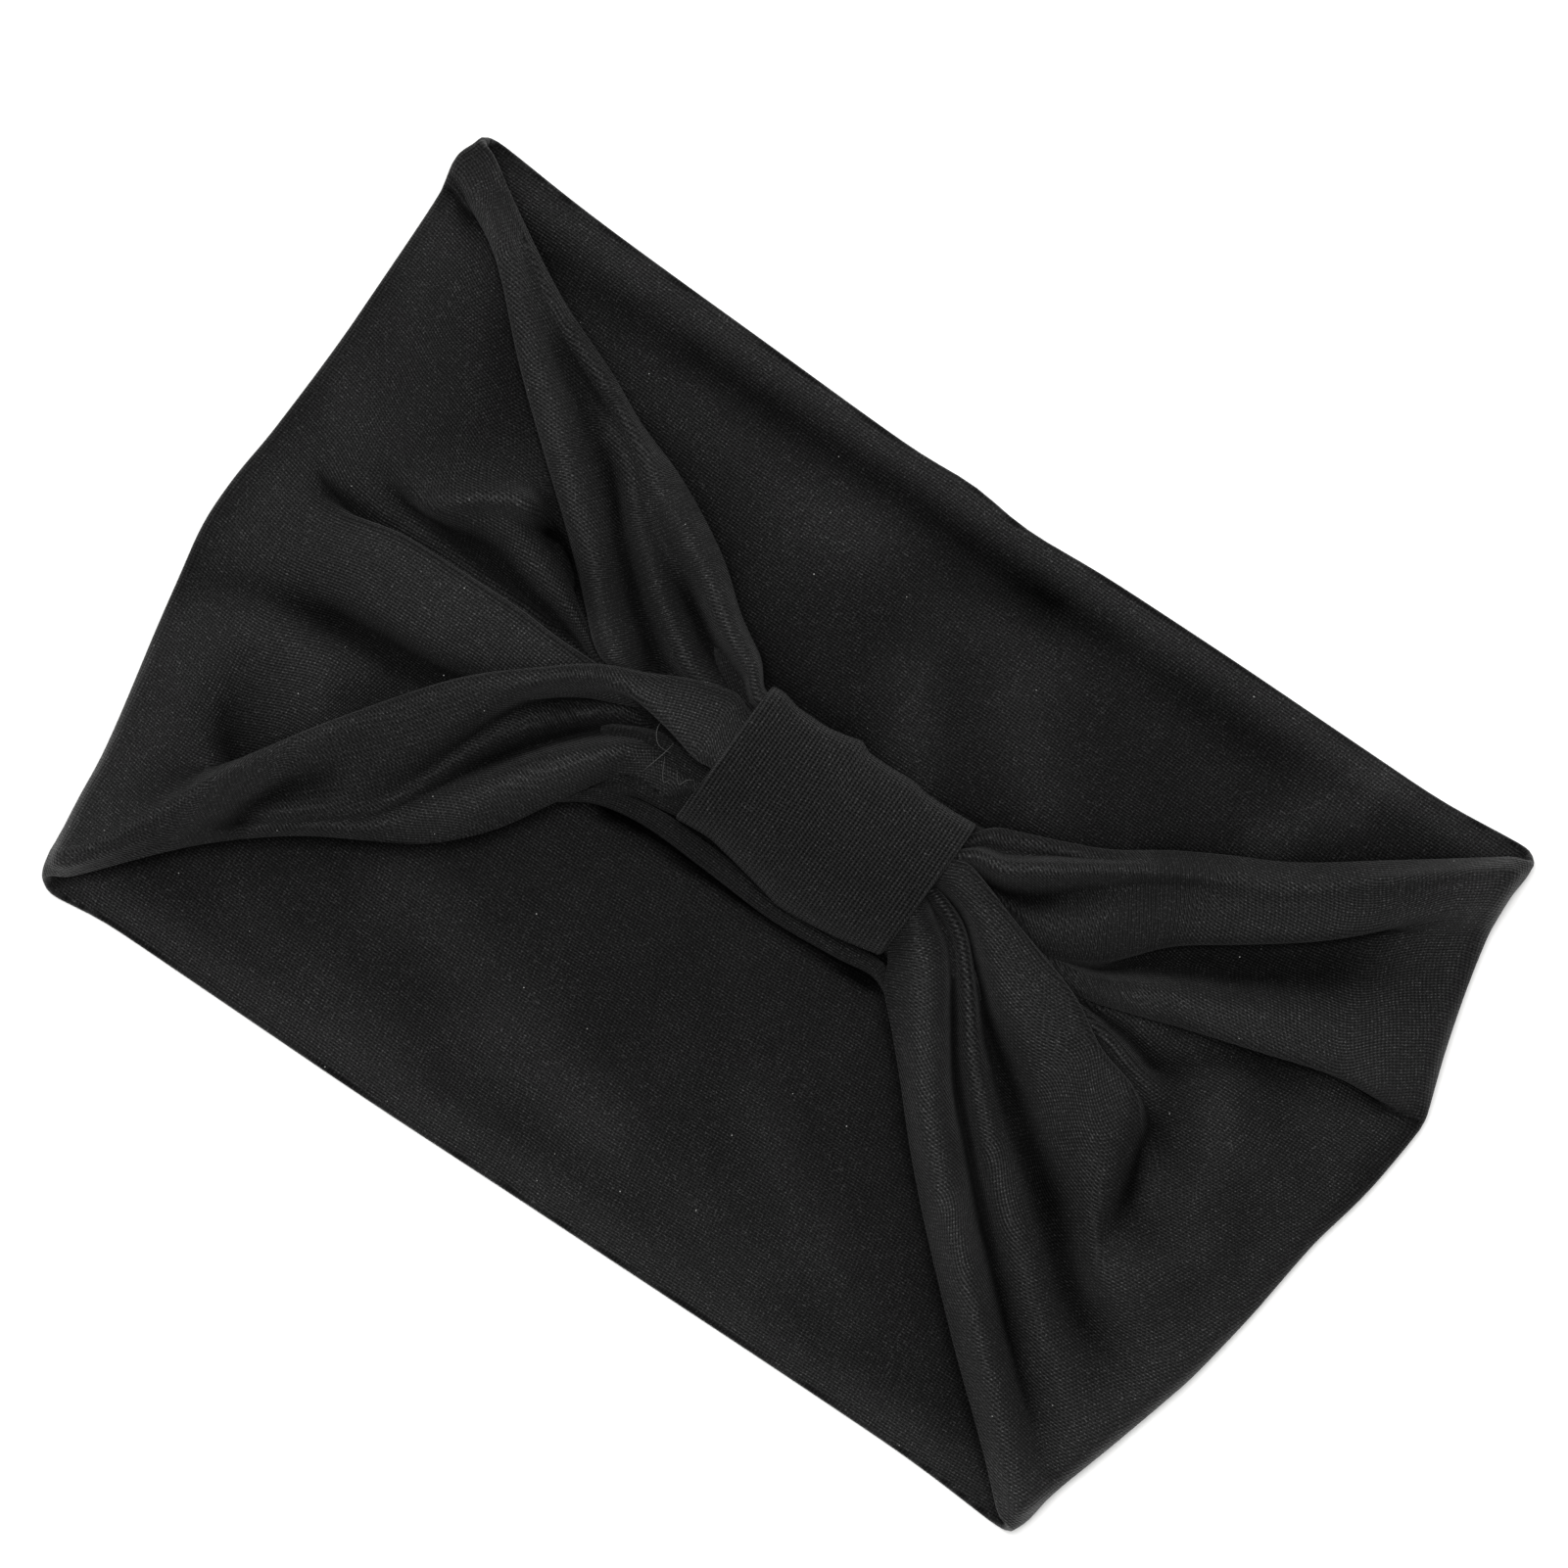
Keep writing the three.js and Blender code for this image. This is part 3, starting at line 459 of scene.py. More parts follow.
def shared_samples(ribs):
    """Shares ACROSS samples out by the usual width of each gap, with at least two in each."""
    widths = np.percentile(np.linalg.norm(np.diff(ribs, axis=1), axis=2), USUAL_WIDTH, axis=0)
    counts = np.maximum(2, np.floor(widths / widths.sum() * ACROSS)).astype(int)
    while counts.sum() != ACROSS:
        step = 1 if counts.sum() < ACROSS else -1
        counts[np.argmax(step * widths / counts) if step > 0 else np.argmax(counts)] += step
    return counts


def wing_sheet(wing, lines, starts):
    """Returns the cloth of a wing as ribs from its end fold to just inside the wrap."""
    throat = wrap_left + THROAT_INSET if wing.side < 0 else wrap_right - THROAT_INSET
    shares = 1 - (1 - np.linspace(0, 1, WING_RIBS)) ** RIB_SPREAD
    x = mix(starts[None, :], throat, shares[:, None])
    y, z = np.stack([line(x[:, k]) for k, line in enumerate(lines)], axis=-1)
    ribs = squeezed(np.stack([x, y, z], axis=-1))
    return through_points(ribs, shared_samples(ribs))


right_sheet = wing_sheet(RIGHT_WING, right_lines, right_starts)
left_sheet = wing_sheet(LEFT_WING, left_lines, left_starts)
print("each wing is", right_sheet.shape[0], "ribs of", right_sheet.shape[1], "points")

# %% [markdown]
# ## Right round the loop
#
# The loop is followed all the way round: along the back panel, up round the right-hand end
# fold, in along the right wing, through the wrap, out along the left wing and down round the
# left-hand end.

# %% Back panel, end folds and bundle
BACK_RIBS, END_RIBS, BUNDLE_RIBS = 58, 9, 10


def across_share(rib):
    """Returns how far across each point of a rib lies, from 1 at the upper edge to 0 at the lower."""
    y = rib[:, 1]
    return (y - y[-1]) / (y[0] - y[-1])


def end_fold(back, front, side):
    """Returns the ribs of an end fold, half a circle from the back's end to the wing's start."""
    angle = np.pi * (np.arange(1, END_RIBS) / END_RIBS - 0.5)[:, None, None]
    ribs = mix(back, front, (1 + np.sin(angle)) / 2)
    ribs[..., 0] += side * FOLD_RADIUS * np.cos(angle[..., 0])
    return ribs


share = np.linspace(0, 1, BACK_RIBS)[:, None]
back_x = mix(left_sheet[0, :, 0], right_sheet[0, :, 0], share)
back_across = mix(across_share(left_sheet[0]), across_share(right_sheet[0]), share)
back_y = mix(lower_edge_y(back_x), upper_edge_y(back_x), back_across)
back_sheet = np.stack([back_x, back_y, np.full_like(back_x, CLOTH_WALL / 2)], axis=-1)
through = (np.arange(1, BUNDLE_RIBS) / BUNDLE_RIBS)[:, None, None]
sheet = np.concatenate(
    [
        back_sheet,
        end_fold(back_sheet[-1], right_sheet[0], 1),
        right_sheet,
        squeezed(mix(right_sheet[-1], left_sheet[-1], through)),
        left_sheet[::-1],
        end_fold(back_sheet[0], left_sheet[0], -1)[::-1],
    ]
)
print("cloth sampled at", sheet.shape[0], "by", sheet.shape[1], "points")

# %% [markdown]
# ## Dents, puckers and soft waves
#
# Between its named folds the cloth is never quite flat. Each smaller wrinkle is a stroke: a
# ridge or dent drawn along a broken line, whose height falls off with the distance from the
# line as a bell curve. The strokes of the front are added to every layer at that spot, so the
# layers of a lip stay apart.

# %% Strokes on the front and the back
# From the first height to the second a point goes over from the back panel to the front.
FRONT_RISE = (5.0, 8.0)
CLOTH_PASSES = 2
Stroke = namedtuple("Stroke", "name height width line")
FRONT_STROKES = (
    Stroke("dent by the upper flap", -1.6, 4, ((-90, 58), (-79, 52))),
    Stroke("dent by the lower corner", -2.4, 2.4, ((-92, -54), (-91, -47), (-88, -43), (-81, -36))),
    Stroke("soft rise of the left panel", 0.8, 3.5, ((-112, -20), (-103, -17.5))),
    Stroke("bump of the left panel", 1.0, 4, ((-97, -19), (-93, -22), (-88, -28))),
    Stroke("dent inside the bump", -1.2, 3, ((-86, -21), (-80, -13))),
    Stroke("arch of the pocket", 1.2, 2.6, ((-94, 15), (-93, 21), (-89, 25.4), (-84, 28), (-79, 29.4))),
    Stroke("hollow of the pocket", -3.0, 2.4, ((-75, 28), (-69, 26.4), (-63, 22.6))),
    Stroke("curl", 0.8, 2.6, ((66.8, 10.2), (67.4, 8.2), (72, 6.8), (78, 5.2), (81.5, 4.4))),
    Stroke("crease inside the curl", -1.6, 2.0, ((69, 10.4), (71.5, 10.7), (74.5, 10.1), (80, 7.6))),
    Stroke("broad fall of the right panel", -1.6, 3.6, ((80, 16), (84, 10), (89, 3), (94, -5))),
    Stroke("steep fall", -2.2, 2.2, ((86, -2), (87.6, -8), (89.6, -15.4), (91.8, -27))),
    Stroke("swell of the right panel", 1.1, 7, ((97, 9), (104, -12))),
    Stroke("rise round the foot", 1.4, 4, ((93, -29.6), (100, -28.4), (105, -23), (110, -16))),
    Stroke("fold of the right panel", -1.2, 3.5, ((101, 13.6), (111, 11.6), (119, 8))),
)
BACK_STROKES = (
    Stroke("wave under the left flap", 0.6, 7, ((-100, 62), (20, 60))),
    Stroke("swell above the wrap", 0.4, 8, ((-36, 52), (-22, 62))),
    Stroke("wrinkle above the wrap", 0.8, 5, ((0, 45), (12, 26))),
    Stroke("swell above the tab", 0.7, 6, ((18, 52), (34, 38))),
    Stroke("crease by the right flap", 0.9, 4, ((86, 80), (85, 71), (78, 64), (74, 56))),
    Stroke("wave below the left wing", 0.6, 7, ((-60, -44), (0, -60))),
    Stroke("long wave below", 0.6, 7, ((-30, -62), (42, -68))),
    Stroke("short wave below", 0.5, 6, ((20, -40), (60, -66))),
    Stroke("wave by the lower edge", 0.5, 5, ((-80, -66), (-40, -72))),
)
print("strokes:", len(FRONT_STROKES), "on the front and", len(BACK_STROKES), "on the back")

# %% Adding the strokes
def stroke_heights(points, strokes):
    """Sums height * exp(-(d/width)^2) over the strokes, d being the distance in plan."""
    total = np.zeros(points.shape[:-1])
    for stroke in strokes:
        corners = np.array(stroke.line, float)
        starts, runs = corners[:-1], np.diff(corners, axis=0)
        offset = points[..., None, :2] - starts
        along = np.clip((offset * runs).sum(-1) / (runs * runs).sum(-1), 0, 1)
        distance = np.linalg.norm(offset - along[..., None] * runs, axis=-1).min(-1)
        total += stroke.height * bell(distance, 0, stroke.width)
    return total


def softened(grid, passes):
    """Moves each point half way to the mean of its neighbours along the loop and across it."""
    for _ in range(passes):
        along = (np.roll(grid, 1, 0) + np.roll(grid, -1, 0)) / 2
        grid = mix(grid, along, 0.5)
        inner = mix(grid[:, 1:-1], (grid[:, :-2] + grid[:, 2:]) / 2, 0.5)
        grid = np.concatenate([grid[:, :1], inner, grid[:, -1:]], axis=1)
    return grid


front = smoothstep(sheet[..., 2], *FRONT_RISE)
heights = mix(stroke_heights(sheet, BACK_STROKES), stroke_heights(sheet, FRONT_STROKES), front)
sheet[..., 2] += heights
sheet = softened(sheet, CLOTH_PASSES)
print("largest rise and dent, in mm:", np.round([heights.max(), heights.min()], 2).tolist())

# %% [markdown]
# ## Crests and hollows
#
# Light and shade are painted into the cloth's colour here: painted shade down in the hollows
# of its folds, and a painted highlight on their crests. One value per point carries this: 0 in
# the deepest hollow, 1 on the sharpest crest and about a half where the cloth is flat, a touch
# more on the wings than on the back panel below them. On the wings it comes from the height of
# each point over the mean height around it, with a few strokes for painted highlights along the
# ends and painted shade in the deepest creases. On the back panel it comes from the strokes,
# with painted highlights along its long edges, and beside a wing's edge a painted shadow makes
# the cloth the darkest. It travels with the mesh as an attribute.

# %% Tones and shades
# Each scale is the height in mm that makes one whole unit of painted shading.
FINE_PASSES, MEAN_PASSES = 3, 90
CREST_SCALE, HOLLOW_SCALE, STROKE_SCALE = 7.5, 3.0, 3.4
WING_TONE, BACK_TONE = 0.54, 0.41
# A painted shadow on the back panel beside a wing's edge: how far in mm it fades, and how deep it is.
EDGE_SHADOW_REACH, EDGE_SHADOW_DEPTH = 4.0, 0.22
# A painted highlight on the low end folds: how much paler, and the heights in mm over which it fades.
RIM_PAINTED_HIGHLIGHT, RIM_RISE = 0.12, (6.0, 9.0)
# Painted shade in the deepest creases, and painted highlights along the two ends.
FRONT_SHADES = (
    Stroke("inside the pocket", -1.1, 4, ((-76, 30), (-68, 26), (-60, 20))),
    Stroke("side of the arch", -0.35, 3, ((-92, 20), (-88, 26), (-83, 29))),
    Stroke("crease of the curl", -1.0, 1.4, ((65, 10.8), (69.5, 9), (75, 9.8), (80, 7.6))),
    Stroke("painted highlight on the left end", 0.25, 6, ((-127, 60), (-128, 10), (-124, -30))),
    Stroke("painted highlight on the right end", 0.4, 7, ((126, -4), (120, -30), (108, -74))),
)
# Painted highlights along the back panel's long edges, painted shade below the upper one and round the
# wrap, and a painted shadow under the lowest fold.
BACK_SHADES = (
    Stroke("painted highlight on the upper edge", 1.2, 4, ((-118, 78.5), (114, 78.5))),
    Stroke("shade below it", -0.5, 5, ((-104, 71), (66, 71))),
    Stroke("middle of that shade", -0.35, 3, ((-70, 72), (28, 71.5))),
    Stroke("shade above the wrap", -0.6, 6, ((-14, 60), (12, 68))),
    Stroke("painted shadow under the lowest fold", -1.8, 1.7, ((-36, -11), (-26, -9.6), (28, -9.6))),
    Stroke("painted highlight on the lower edge", 1.1, 5, ((-112, -78.5), (104, -77.5))),
)
print("shades:", len(FRONT_SHADES), "on the front and", len(BACK_SHADES), "on the back")

# %% How far each point stands over its surroundings
# Painted shade in the wings' hollows and a painted highlight on their crests, from each point's height
# over its surroundings.
def wing_painted_shading(grid):
    """Returns WING_TONE + (height - mean height) / scale, with one scale a sign.

    Both heights are softened, over FINE_PASSES and MEAN_PASSES. The grid is followed by its own
    mirror image, so that softening doesn't reach past its ends.
    """
    both = np.concatenate([grid[..., 2:], grid[::-1, :, 2:]])
    over_mean = softened(both, FINE_PASSES) - softened(both, MEAN_PASSES)
    over_mean = over_mean[: len(grid), :, 0]
    return WING_TONE + over_mean / np.where(over_mean > 0, CREST_SCALE, HOLLOW_SCALE)


def edge_gaps(grid):
    """Returns each point's distance in Y outside the wings' long edges, 0 beneath them."""
    x, y = grid[..., 0], grid[..., 1]
    reach = np.abs(x)
    upper, lower = (
        np.where(x < 0, left_lines[k](-reach)[0], right_lines[k](reach)[0]) for k in (0, -1)
    )
    return np.maximum(np.maximum(y - upper, lower - y), 0)


# The painted shadow beside each wing's edge.
edge_shadow = EDGE_SHADOW_DEPTH * np.exp(-edge_gaps(sheet) / EDGE_SHADOW_REACH)
# The back panel's painted shading: paler where its waves rise, with the painted shades added.
back_strokes = stroke_heights(sheet, (*BACK_STROKES, *BACK_SHADES))
back_painted_shading = BACK_TONE + back_strokes / STROKE_SCALE - edge_shadow
front_painted_shading = np.full(sheet.shape[:2], WING_TONE)
front_painted_shading[BACK_RIBS:] = wing_painted_shading(sheet[BACK_RIBS:])
front_painted_shading += stroke_heights(sheet, FRONT_SHADES) / STROKE_SCALE
# The painted highlight on the low end folds.
rim = RIM_PAINTED_HIGHLIGHT * (1 - smoothstep(sheet[..., 2], *RIM_RISE))
painted_shading = np.clip(mix(back_painted_shading, front_painted_shading + rim, front), 0, 1)
print("lift, 5th to 95th hundredth:", np.round(np.percentile(painted_shading, [5, 50, 95]), 2).tolist())

# %% [markdown]
# ## Giving the cloth its two layers
#
# The sheet so far is the middle of the cloth. An outer and an inner skin are set off from it
# along its normal, and half circles close the two long edges, where the real cloth simply
# turns round. Next to those edges the two layers puff apart, so the edge is a soft roll.

# %% Skins and rolled edges
EDGE_STEPS = 5
TINY = 1e-9


def unit(vectors):
    """Scales vectors to length one."""
    return vectors / np.maximum(np.linalg.norm(vectors, axis=-1, keepdims=True), TINY)


def headings(before, here, after):
    """Returns the mean of the unit directions into and out of each point."""
    return unit(unit(here - before) + unit(after - here))


def sheet_normals(grid):
    """Returns the cross product of the headings along the loop and across it."""
    along = headings(np.roll(grid, 1, 0), grid, np.roll(grid, -1, 0))
    before_first = 2 * grid[:, :1] - grid[:, 1:2]
    after_last = 2 * grid[:, -1:] - grid[:, -2:-1]
    padded = np.concatenate([before_first, grid, after_last], axis=1)
    over = headings(padded[:, :-2], grid, padded[:, 2:])
    return unit(np.cross(along, over))


def closed_cloth(grid, half):
    """Returns one ring of points per rib: outer skin, far edge, inner skin, near edge."""
    normal = sheet_normals(grid)
    offset = normal * half[..., None]
    angle = (np.arange(1, EDGE_STEPS) * np.pi / EDGE_STEPS)[None, :, None]

    def edge(j, inside):
        outward = unit(grid[:, j] - grid[:, inside])[:, None]
        turned = np.sin(angle) * outward + np.cos(angle) * normal[:, j][:, None]
        return grid[:, j][:, None] + half[:, j, None, None] * turned

    far, near = edge(-1, -2), edge(0, 1)
    return np.concatenate([grid + offset, far, (grid - offset)[:, ::-1], near[:, ::-1]], axis=1)


def lengths_along(grid, axis):
    """Returns the running length of the grid's lines along one axis, from 0."""
    steps = np.linalg.norm(np.diff(grid, axis=axis), axis=-1)
    return np.insert(np.cumsum(steps, axis=axis), 0, 0, axis=axis)


print("steps round each turned edge:", EDGE_STEPS)

# %% The cloth with its two layers
# The roll swells by ROLL_SWELL on each side, ROLL_PLACE in from the edge, within ROLL_REACH.
ROLL_SWELL, ROLL_PLACE, ROLL_REACH = 0.9, 3.6, 4.05
WING_RISE = (3.0, 9.0)
across = lengths_along(sheet, 1)
from_edge = np.minimum(across, across[:, -1:] - across)
swell = ROLL_SWELL * bell(from_edge, ROLL_PLACE, ROLL_REACH)
on_wing = smoothstep(sheet[..., 2], *WING_RISE)
half_wall = CLOTH_WALL / 2 + swell * (1 - on_wing)
cloth_rings = closed_cloth(sheet, half_wall)
cloth_rings[..., 2] = np.maximum(cloth_rings[..., 2], 0)
print("width of the back panel, in mm:", round(float(np.median(across[:BACK_RIBS, -1])), 1))

# %% [markdown]
# ## Meshes from grids of points
#
# A grid closed both ways is a torus: each point joins its neighbours and the last row joins
# the first. The wrap is one, and so is the loop of cloth. The mesh carries the cloth's own
# millimetres as its UV map, so that the knit can follow it.

# %% Grids as meshes
MM = 1 / MM_IN_METRE


def grid_faces(rows, columns, closed_rows=True):
    """Returns the quads of a grid whose columns close round, and whose rows may."""
    i = np.arange(rows if closed_rows else rows - 1)[:, None]
    j = np.arange(columns)[None, :]
    n, m = (i + 1) % rows, (j + 1) % columns
    quads = [i * columns + j, n * columns + j, n * columns + m, i * columns + m]
    return np.stack(np.broadcast_arrays(*quads), axis=-1).reshape(-1, 4)


def mesh_object(name, points, faces, cloth_uv, material, painted_shading_values=None):
    """Makes a smooth mesh from millimetre points, with one UV pair in millimetres per point."""
    mesh = bpy.data.meshes.new(name)
    mesh.from_pydata((points * MM).tolist(), [], faces.tolist())
    layer = mesh.uv_layers.new(name="cloth")
    layer.data.foreach_set("uv", cloth_uv[faces.reshape(-1)].astype(np.float32).ravel())
    mesh.polygons.foreach_set("use_smooth", np.ones(len(faces), dtype=bool))
    # A value of painted shade and highlight per point, which the cloth's shader reads.
    if painted_shading_values is not None:
        attribute = mesh.attributes.new("painted_shading", "FLOAT", "POINT")
        attribute.data.foreach_set("value", np.asarray(painted_shading_values, np.float32))
    mesh.materials.append(material)
    piece = bpy.data.objects.new(name, mesh)
    bpy.context.collection.objects.link(piece)
    return piece


print("faces of a torus of 3 by 4 points:", len(grid_faces(3, 4)))

# %% [markdown]
# ## Tubes of cloth and thread
#
# Rolls of cloth and loose threads are tubes: an oval carried along a smooth path. It is drawn
# in almost to a point at each end, and a small cap closes it there.

# %% Tubes
TIP, TIP_BLUNTNESS = 0.004, 0.4


def along_path(path, count):
    """Samples a smooth curve through path's points, evenly by index, with its unit tangents."""
    path = np.asarray(path, float)[None]
    per = max(2, round(count / (path.shape[1] - 1)))
    line = through_points(path, [per] * (path.shape[1] - 1))[0]
    return line, unit(np.gradient(line, axis=0))


def tube(path, radius, count, sides, flat=1.0):
    """Carries an oval along a path, its radius times sin(pi * share)^TIP_BLUNTNESS.

    Returns the points as rings and a UV of running length and angle. `flat` is the oval's
    height over its width.
    """
    centre, tangent = along_path(path, count)
    sideways = unit(np.cross(tangent, (0.0, 0.0, 1.0)))
    upwards = np.cross(sideways, tangent)
    share = np.linspace(0, 1, len(centre))
    radii = radius * np.sin(np.pi * np.clip(share, TIP, 1 - TIP)) ** TIP_BLUNTNESS
    angle = 2 * np.pi * np.arange(sides) / sides
    wheel = np.cos(angle)[None, :, None] * sideways[:, None]
    wheel = wheel + flat * np.sin(angle)[None, :, None] * upwards[:, None]
    points = centre[:, None] + radii[:, None, None] * wheel
    length = lengths_along(centre[:, None], 0)
    uv = np.stack(np.broadcast_arrays(length, radius * angle[None, :]), axis=-1)
    return points, uv


def joined(parts):
    """Joins (points, faces, uv) parts into one set of arrays."""
    points, faces, uv = zip(*parts)
    offsets = np.cumsum([0] + [len(part) for part in points[:-1]])
    moved = [part + offset for part, offset in zip(faces, offsets)]
    return np.concatenate(points), np.concatenate(moved), np.concatenate(uv)


def cap(ring):
    """Returns a fan of quads that closes a ring of point numbers, an even count of them."""
    hub = np.full(len(ring[3::2]), ring[0])
    return np.stack([ring[1:-2:2], ring[2:-1:2], ring[3::2], hub], axis=-1)


def tube_part(path, radius, count, sides, flat=1.0):
    """Returns a tube as one closed part: its points, its faces with both caps, and its UV."""
    points, uv = tube(path, radius, count, sides, flat)
    first = np.arange(sides)
    last = (len(points) - 1) * sides + first[::-1]
    faces = [grid_faces(len(points), sides, closed_rows=False), cap(first), cap(last)]
    return points.reshape(-1, 3), np.concatenate(faces), uv.reshape(-1, 2)


print("quads in the cap of a ring of 12:", len(cap(np.arange(12))))

# %% [markdown]
# ## Material: fine black jersey
#
# The cloth is a single jersey of polyester and elastane, dyed black. Each wale, a column of
# stitches, stands up as a fine rib about half a millimetre wide, and the courses cross it. At
# that size the knit would hardly show from a metre away, so here its ribs are drawn a little
# coarser, a wale every 0.6 mm, and every 0.8 mm on the wrap, where the strip is stretched. Its
# short fibres catch light at a glancing angle, which is why the turned edges look paler than
# the flat cloth: that is partly sheen, set on the shader itself, and partly a painted highlight
# along the ends and long edges.
#
# The knit follows the cloth, so it reads the cloth's own millimetre coordinates: u along the
# loop and v across it, or on the wrap u round the ring and v along it. Fuzz, fibre ends and
# lint belong to no stitch, so they are solid patterns in the object's own metres, and never
# smear where the cloth is gathered.

# %% Node and colour helpers
# The cloth's black under painted shade in the hollows, and under a painted highlight on the crests.
HOLLOW_SHADE_BLACK = "#030303"
CREST_HIGHLIGHT_BLACK = "#181818"


def linear(hex_colour):
    """Turns an sRGB hex colour such as "#1c1c1e" into linear red, green, blue and alpha."""
    srgb = [int(hex_colour[i : i + 2], 16) / 255 for i in (1, 3, 5)]
    return (*(c / 12.92 if c <= 0.04045 else ((c + 0.055) / 1.055) ** 2.4 for c in srgb), 1)


def set_inputs(tree, node, **inputs):
    """Gives a node its inputs, each named by its socket with _ for a space, or _0, _1 by number.

    An input is a value, a socket, or a node, which stands for its own first output.
    """
    for name, value in inputs.items():
        socket = node.inputs[int(name[1:]) if name[1:].isdigit() else name.replace("_", " ")]
        if isinstance(value, bpy.types.Node):
            value = value.outputs[0]
        if isinstance(value, bpy.types.NodeSocket):
            tree.links.new(value, socket)
        else:
            socket.default_value = value


def add_node(tree, kind, settings=(), **inputs):
    """Adds a shader node with its own settings, its inputs given as in set_inputs."""
    made = tree.nodes.new("ShaderNode" + kind)
    for name, value in dict(settings).items():
        setattr(made, name, value)
    set_inputs(tree, made, **inputs)
    return made


def new_material(name):
    """Returns a new material, its node tree and its shader."""
    material = bpy.data.materials.new(name)
    material.use_nodes = True
    return material, material.node_tree, material.node_tree.nodes["Principled BSDF"]


# This prints the paler black, under the painted highlight on the crests.
print("black of the cloth, linear:", [round(c, 4) for c in linear(CREST_HIGHLIGHT_BLACK)[:3]])

# %% [markdown]
# ## The knit's ribs
#
# The ribs could be painted, but paint has one size and one direction. A formula in the cloth's
# own millimetres has neither: a cosine across the wales, another along the courses, and the
# slant of the stitches' arms between them. It gives both the bumps and, later, the shading.

# %% The knit's ribs and bumps
FUZZ_PER_MM, FUZZ_SHARE = 2.2, 1.6
PUCKER_HEIGHT_MM = 1.6


def knit_relief(tree, uv, place, wale_mm, course_mm, course_share):
    """Returns the knit's height: cosine ribs for the wales, crossed by slanted courses.

    height = cos(2 pi v / wale) + course_share * cos(2 pi u / course + slant) + fuzz, where the
    slant swings with the wale, so that the two arms of each stitch lean towards each other.
    """
    wobble = add_node(tree, "TexNoise", Vector=uv, Scale=0.03, Detail=1.0, Roughness=0.5)
    moved = add_node(tree, "VectorMath", {"operation": "ADD"}, _0=uv, _1=wobble.outputs["Color"])
    parts = add_node(tree, "SeparateXYZ", Vector=moved)
    wale_angle = add_node(
        tree, "Math", {"operation": "MULTIPLY"}, _0=parts.outputs["Y"], _1=2 * math.pi / wale_mm
    )
    wale = add_node(tree, "Math", {"operation": "COSINE"}, _0=wale_angle)
    slant = add_node(tree, "Math", {"operation": "ABSOLUTE"}, _0=wale)
    course_angle = add_node(
        tree, "Math", {"operation": "MULTIPLY_ADD"},
        _0=parts.outputs["X"], _1=2 * math.pi / course_mm, _2=slant,
    )
    course = add_node(tree, "Math", {"operation": "COSINE"}, _0=course_angle)
    knit = add_node(tree, "Math", {"operation": "MULTIPLY_ADD"}, _0=course, _1=course_share, _2=wale)
    fuzz = add_node(tree, "TexNoise", Vector=place, Scale=FUZZ_PER_MM / MM, Detail=3.0, Roughness=0.7)
    return add_node(tree, "Math", {"operation": "MULTIPLY_ADD"}, _0=fuzz, _1=FUZZ_SHARE, _2=knit)


def knit_normal(tree, uv, relief, rib_height_mm):
    """Returns the normal of the knit's ribs, which ride on the soft puckers of gathered cloth."""
    pucker = add_node(tree, "TexNoise", Vector=uv, Scale=0.06, Detail=3.0, Roughness=0.5)
    soft = add_node(tree, "Bump", Height=pucker, Distance=PUCKER_HEIGHT_MM * MM, Strength=1.0)
    return add_node(
        tree, "Bump", Height=relief, Distance=rib_height_mm * MM, Strength=1.0, Normal=soft
    )


print("fuzz: a tuft every", round(1 / FUZZ_PER_MM, 2), "mm")

# %% [markdown]
# ## Light, painted shading and lint
#
# Black cloth shows its knit by how much light each loop gives back, more than by shadows. So
# the tops of the ribs are paler than the gaps, and the ends of cut fibres glint over both. The
# painted shade in the hollows and the painted highlight on the crests come from the value that
# travels with the mesh, and lint is what black cloth always carries.

# %% The cloth's light, painted shading and lint
MEAN_SHADE, SHADE_SWING = 0.9, 0.54
FIBRES_PER_MM = 3
LINT_WHITE = "#8c8c8a"
LINT_SPACING_MM = 5.5
LINT_RADIUS_MM = 0.12


def knit_light(tree, place, relief, contrast):
    """Returns how bright each spot is: the ribs over their gaps, and fibre ends over both.

    It runs with the relief from MEAN_SHADE - SHADE_SWING to MEAN_SHADE + SHADE_SWING at a
    contrast of 1, times a sparkle wherever a fine noise peaks.
    """
    swing = SHADE_SWING * contrast
    shade = add_node(
        tree, "MapRange", Value=relief,
        From_Min=-0.6, From_Max=2.4, To_Min=MEAN_SHADE - swing, To_Max=MEAN_SHADE + swing,
    )
    fibres = add_node(
        tree, "TexNoise", Vector=place, Scale=FIBRES_PER_MM / MM, Detail=1.0, Roughness=0.5
    )
    sparkle = add_node(
        tree, "MapRange", Value=fibres, From_Min=0.56, From_Max=0.72, To_Min=0.93, To_Max=2.8
    )
    return add_node(tree, "Math", {"operation": "MULTIPLY"}, _0=shade, _1=sparkle)


def painted_shading_share(tree, place):
    """Returns each spot's painted shade and highlight, made a little uneven by a soft noise."""
    worn = add_node(tree, "TexNoise", Vector=place, Scale=45.0, Detail=4.0, Roughness=0.6)
    uneven = add_node(tree, "Math", {"operation": "MULTIPLY_ADD"}, _0=worn, _1=0.3, _2=-0.15)
    crest = add_node(tree, "Attribute", {"attribute_name": "painted_shading"}).outputs["Fac"]
    return add_node(tree, "Math", {"operation": "ADD", "use_clamp": True}, _0=crest, _1=uneven)


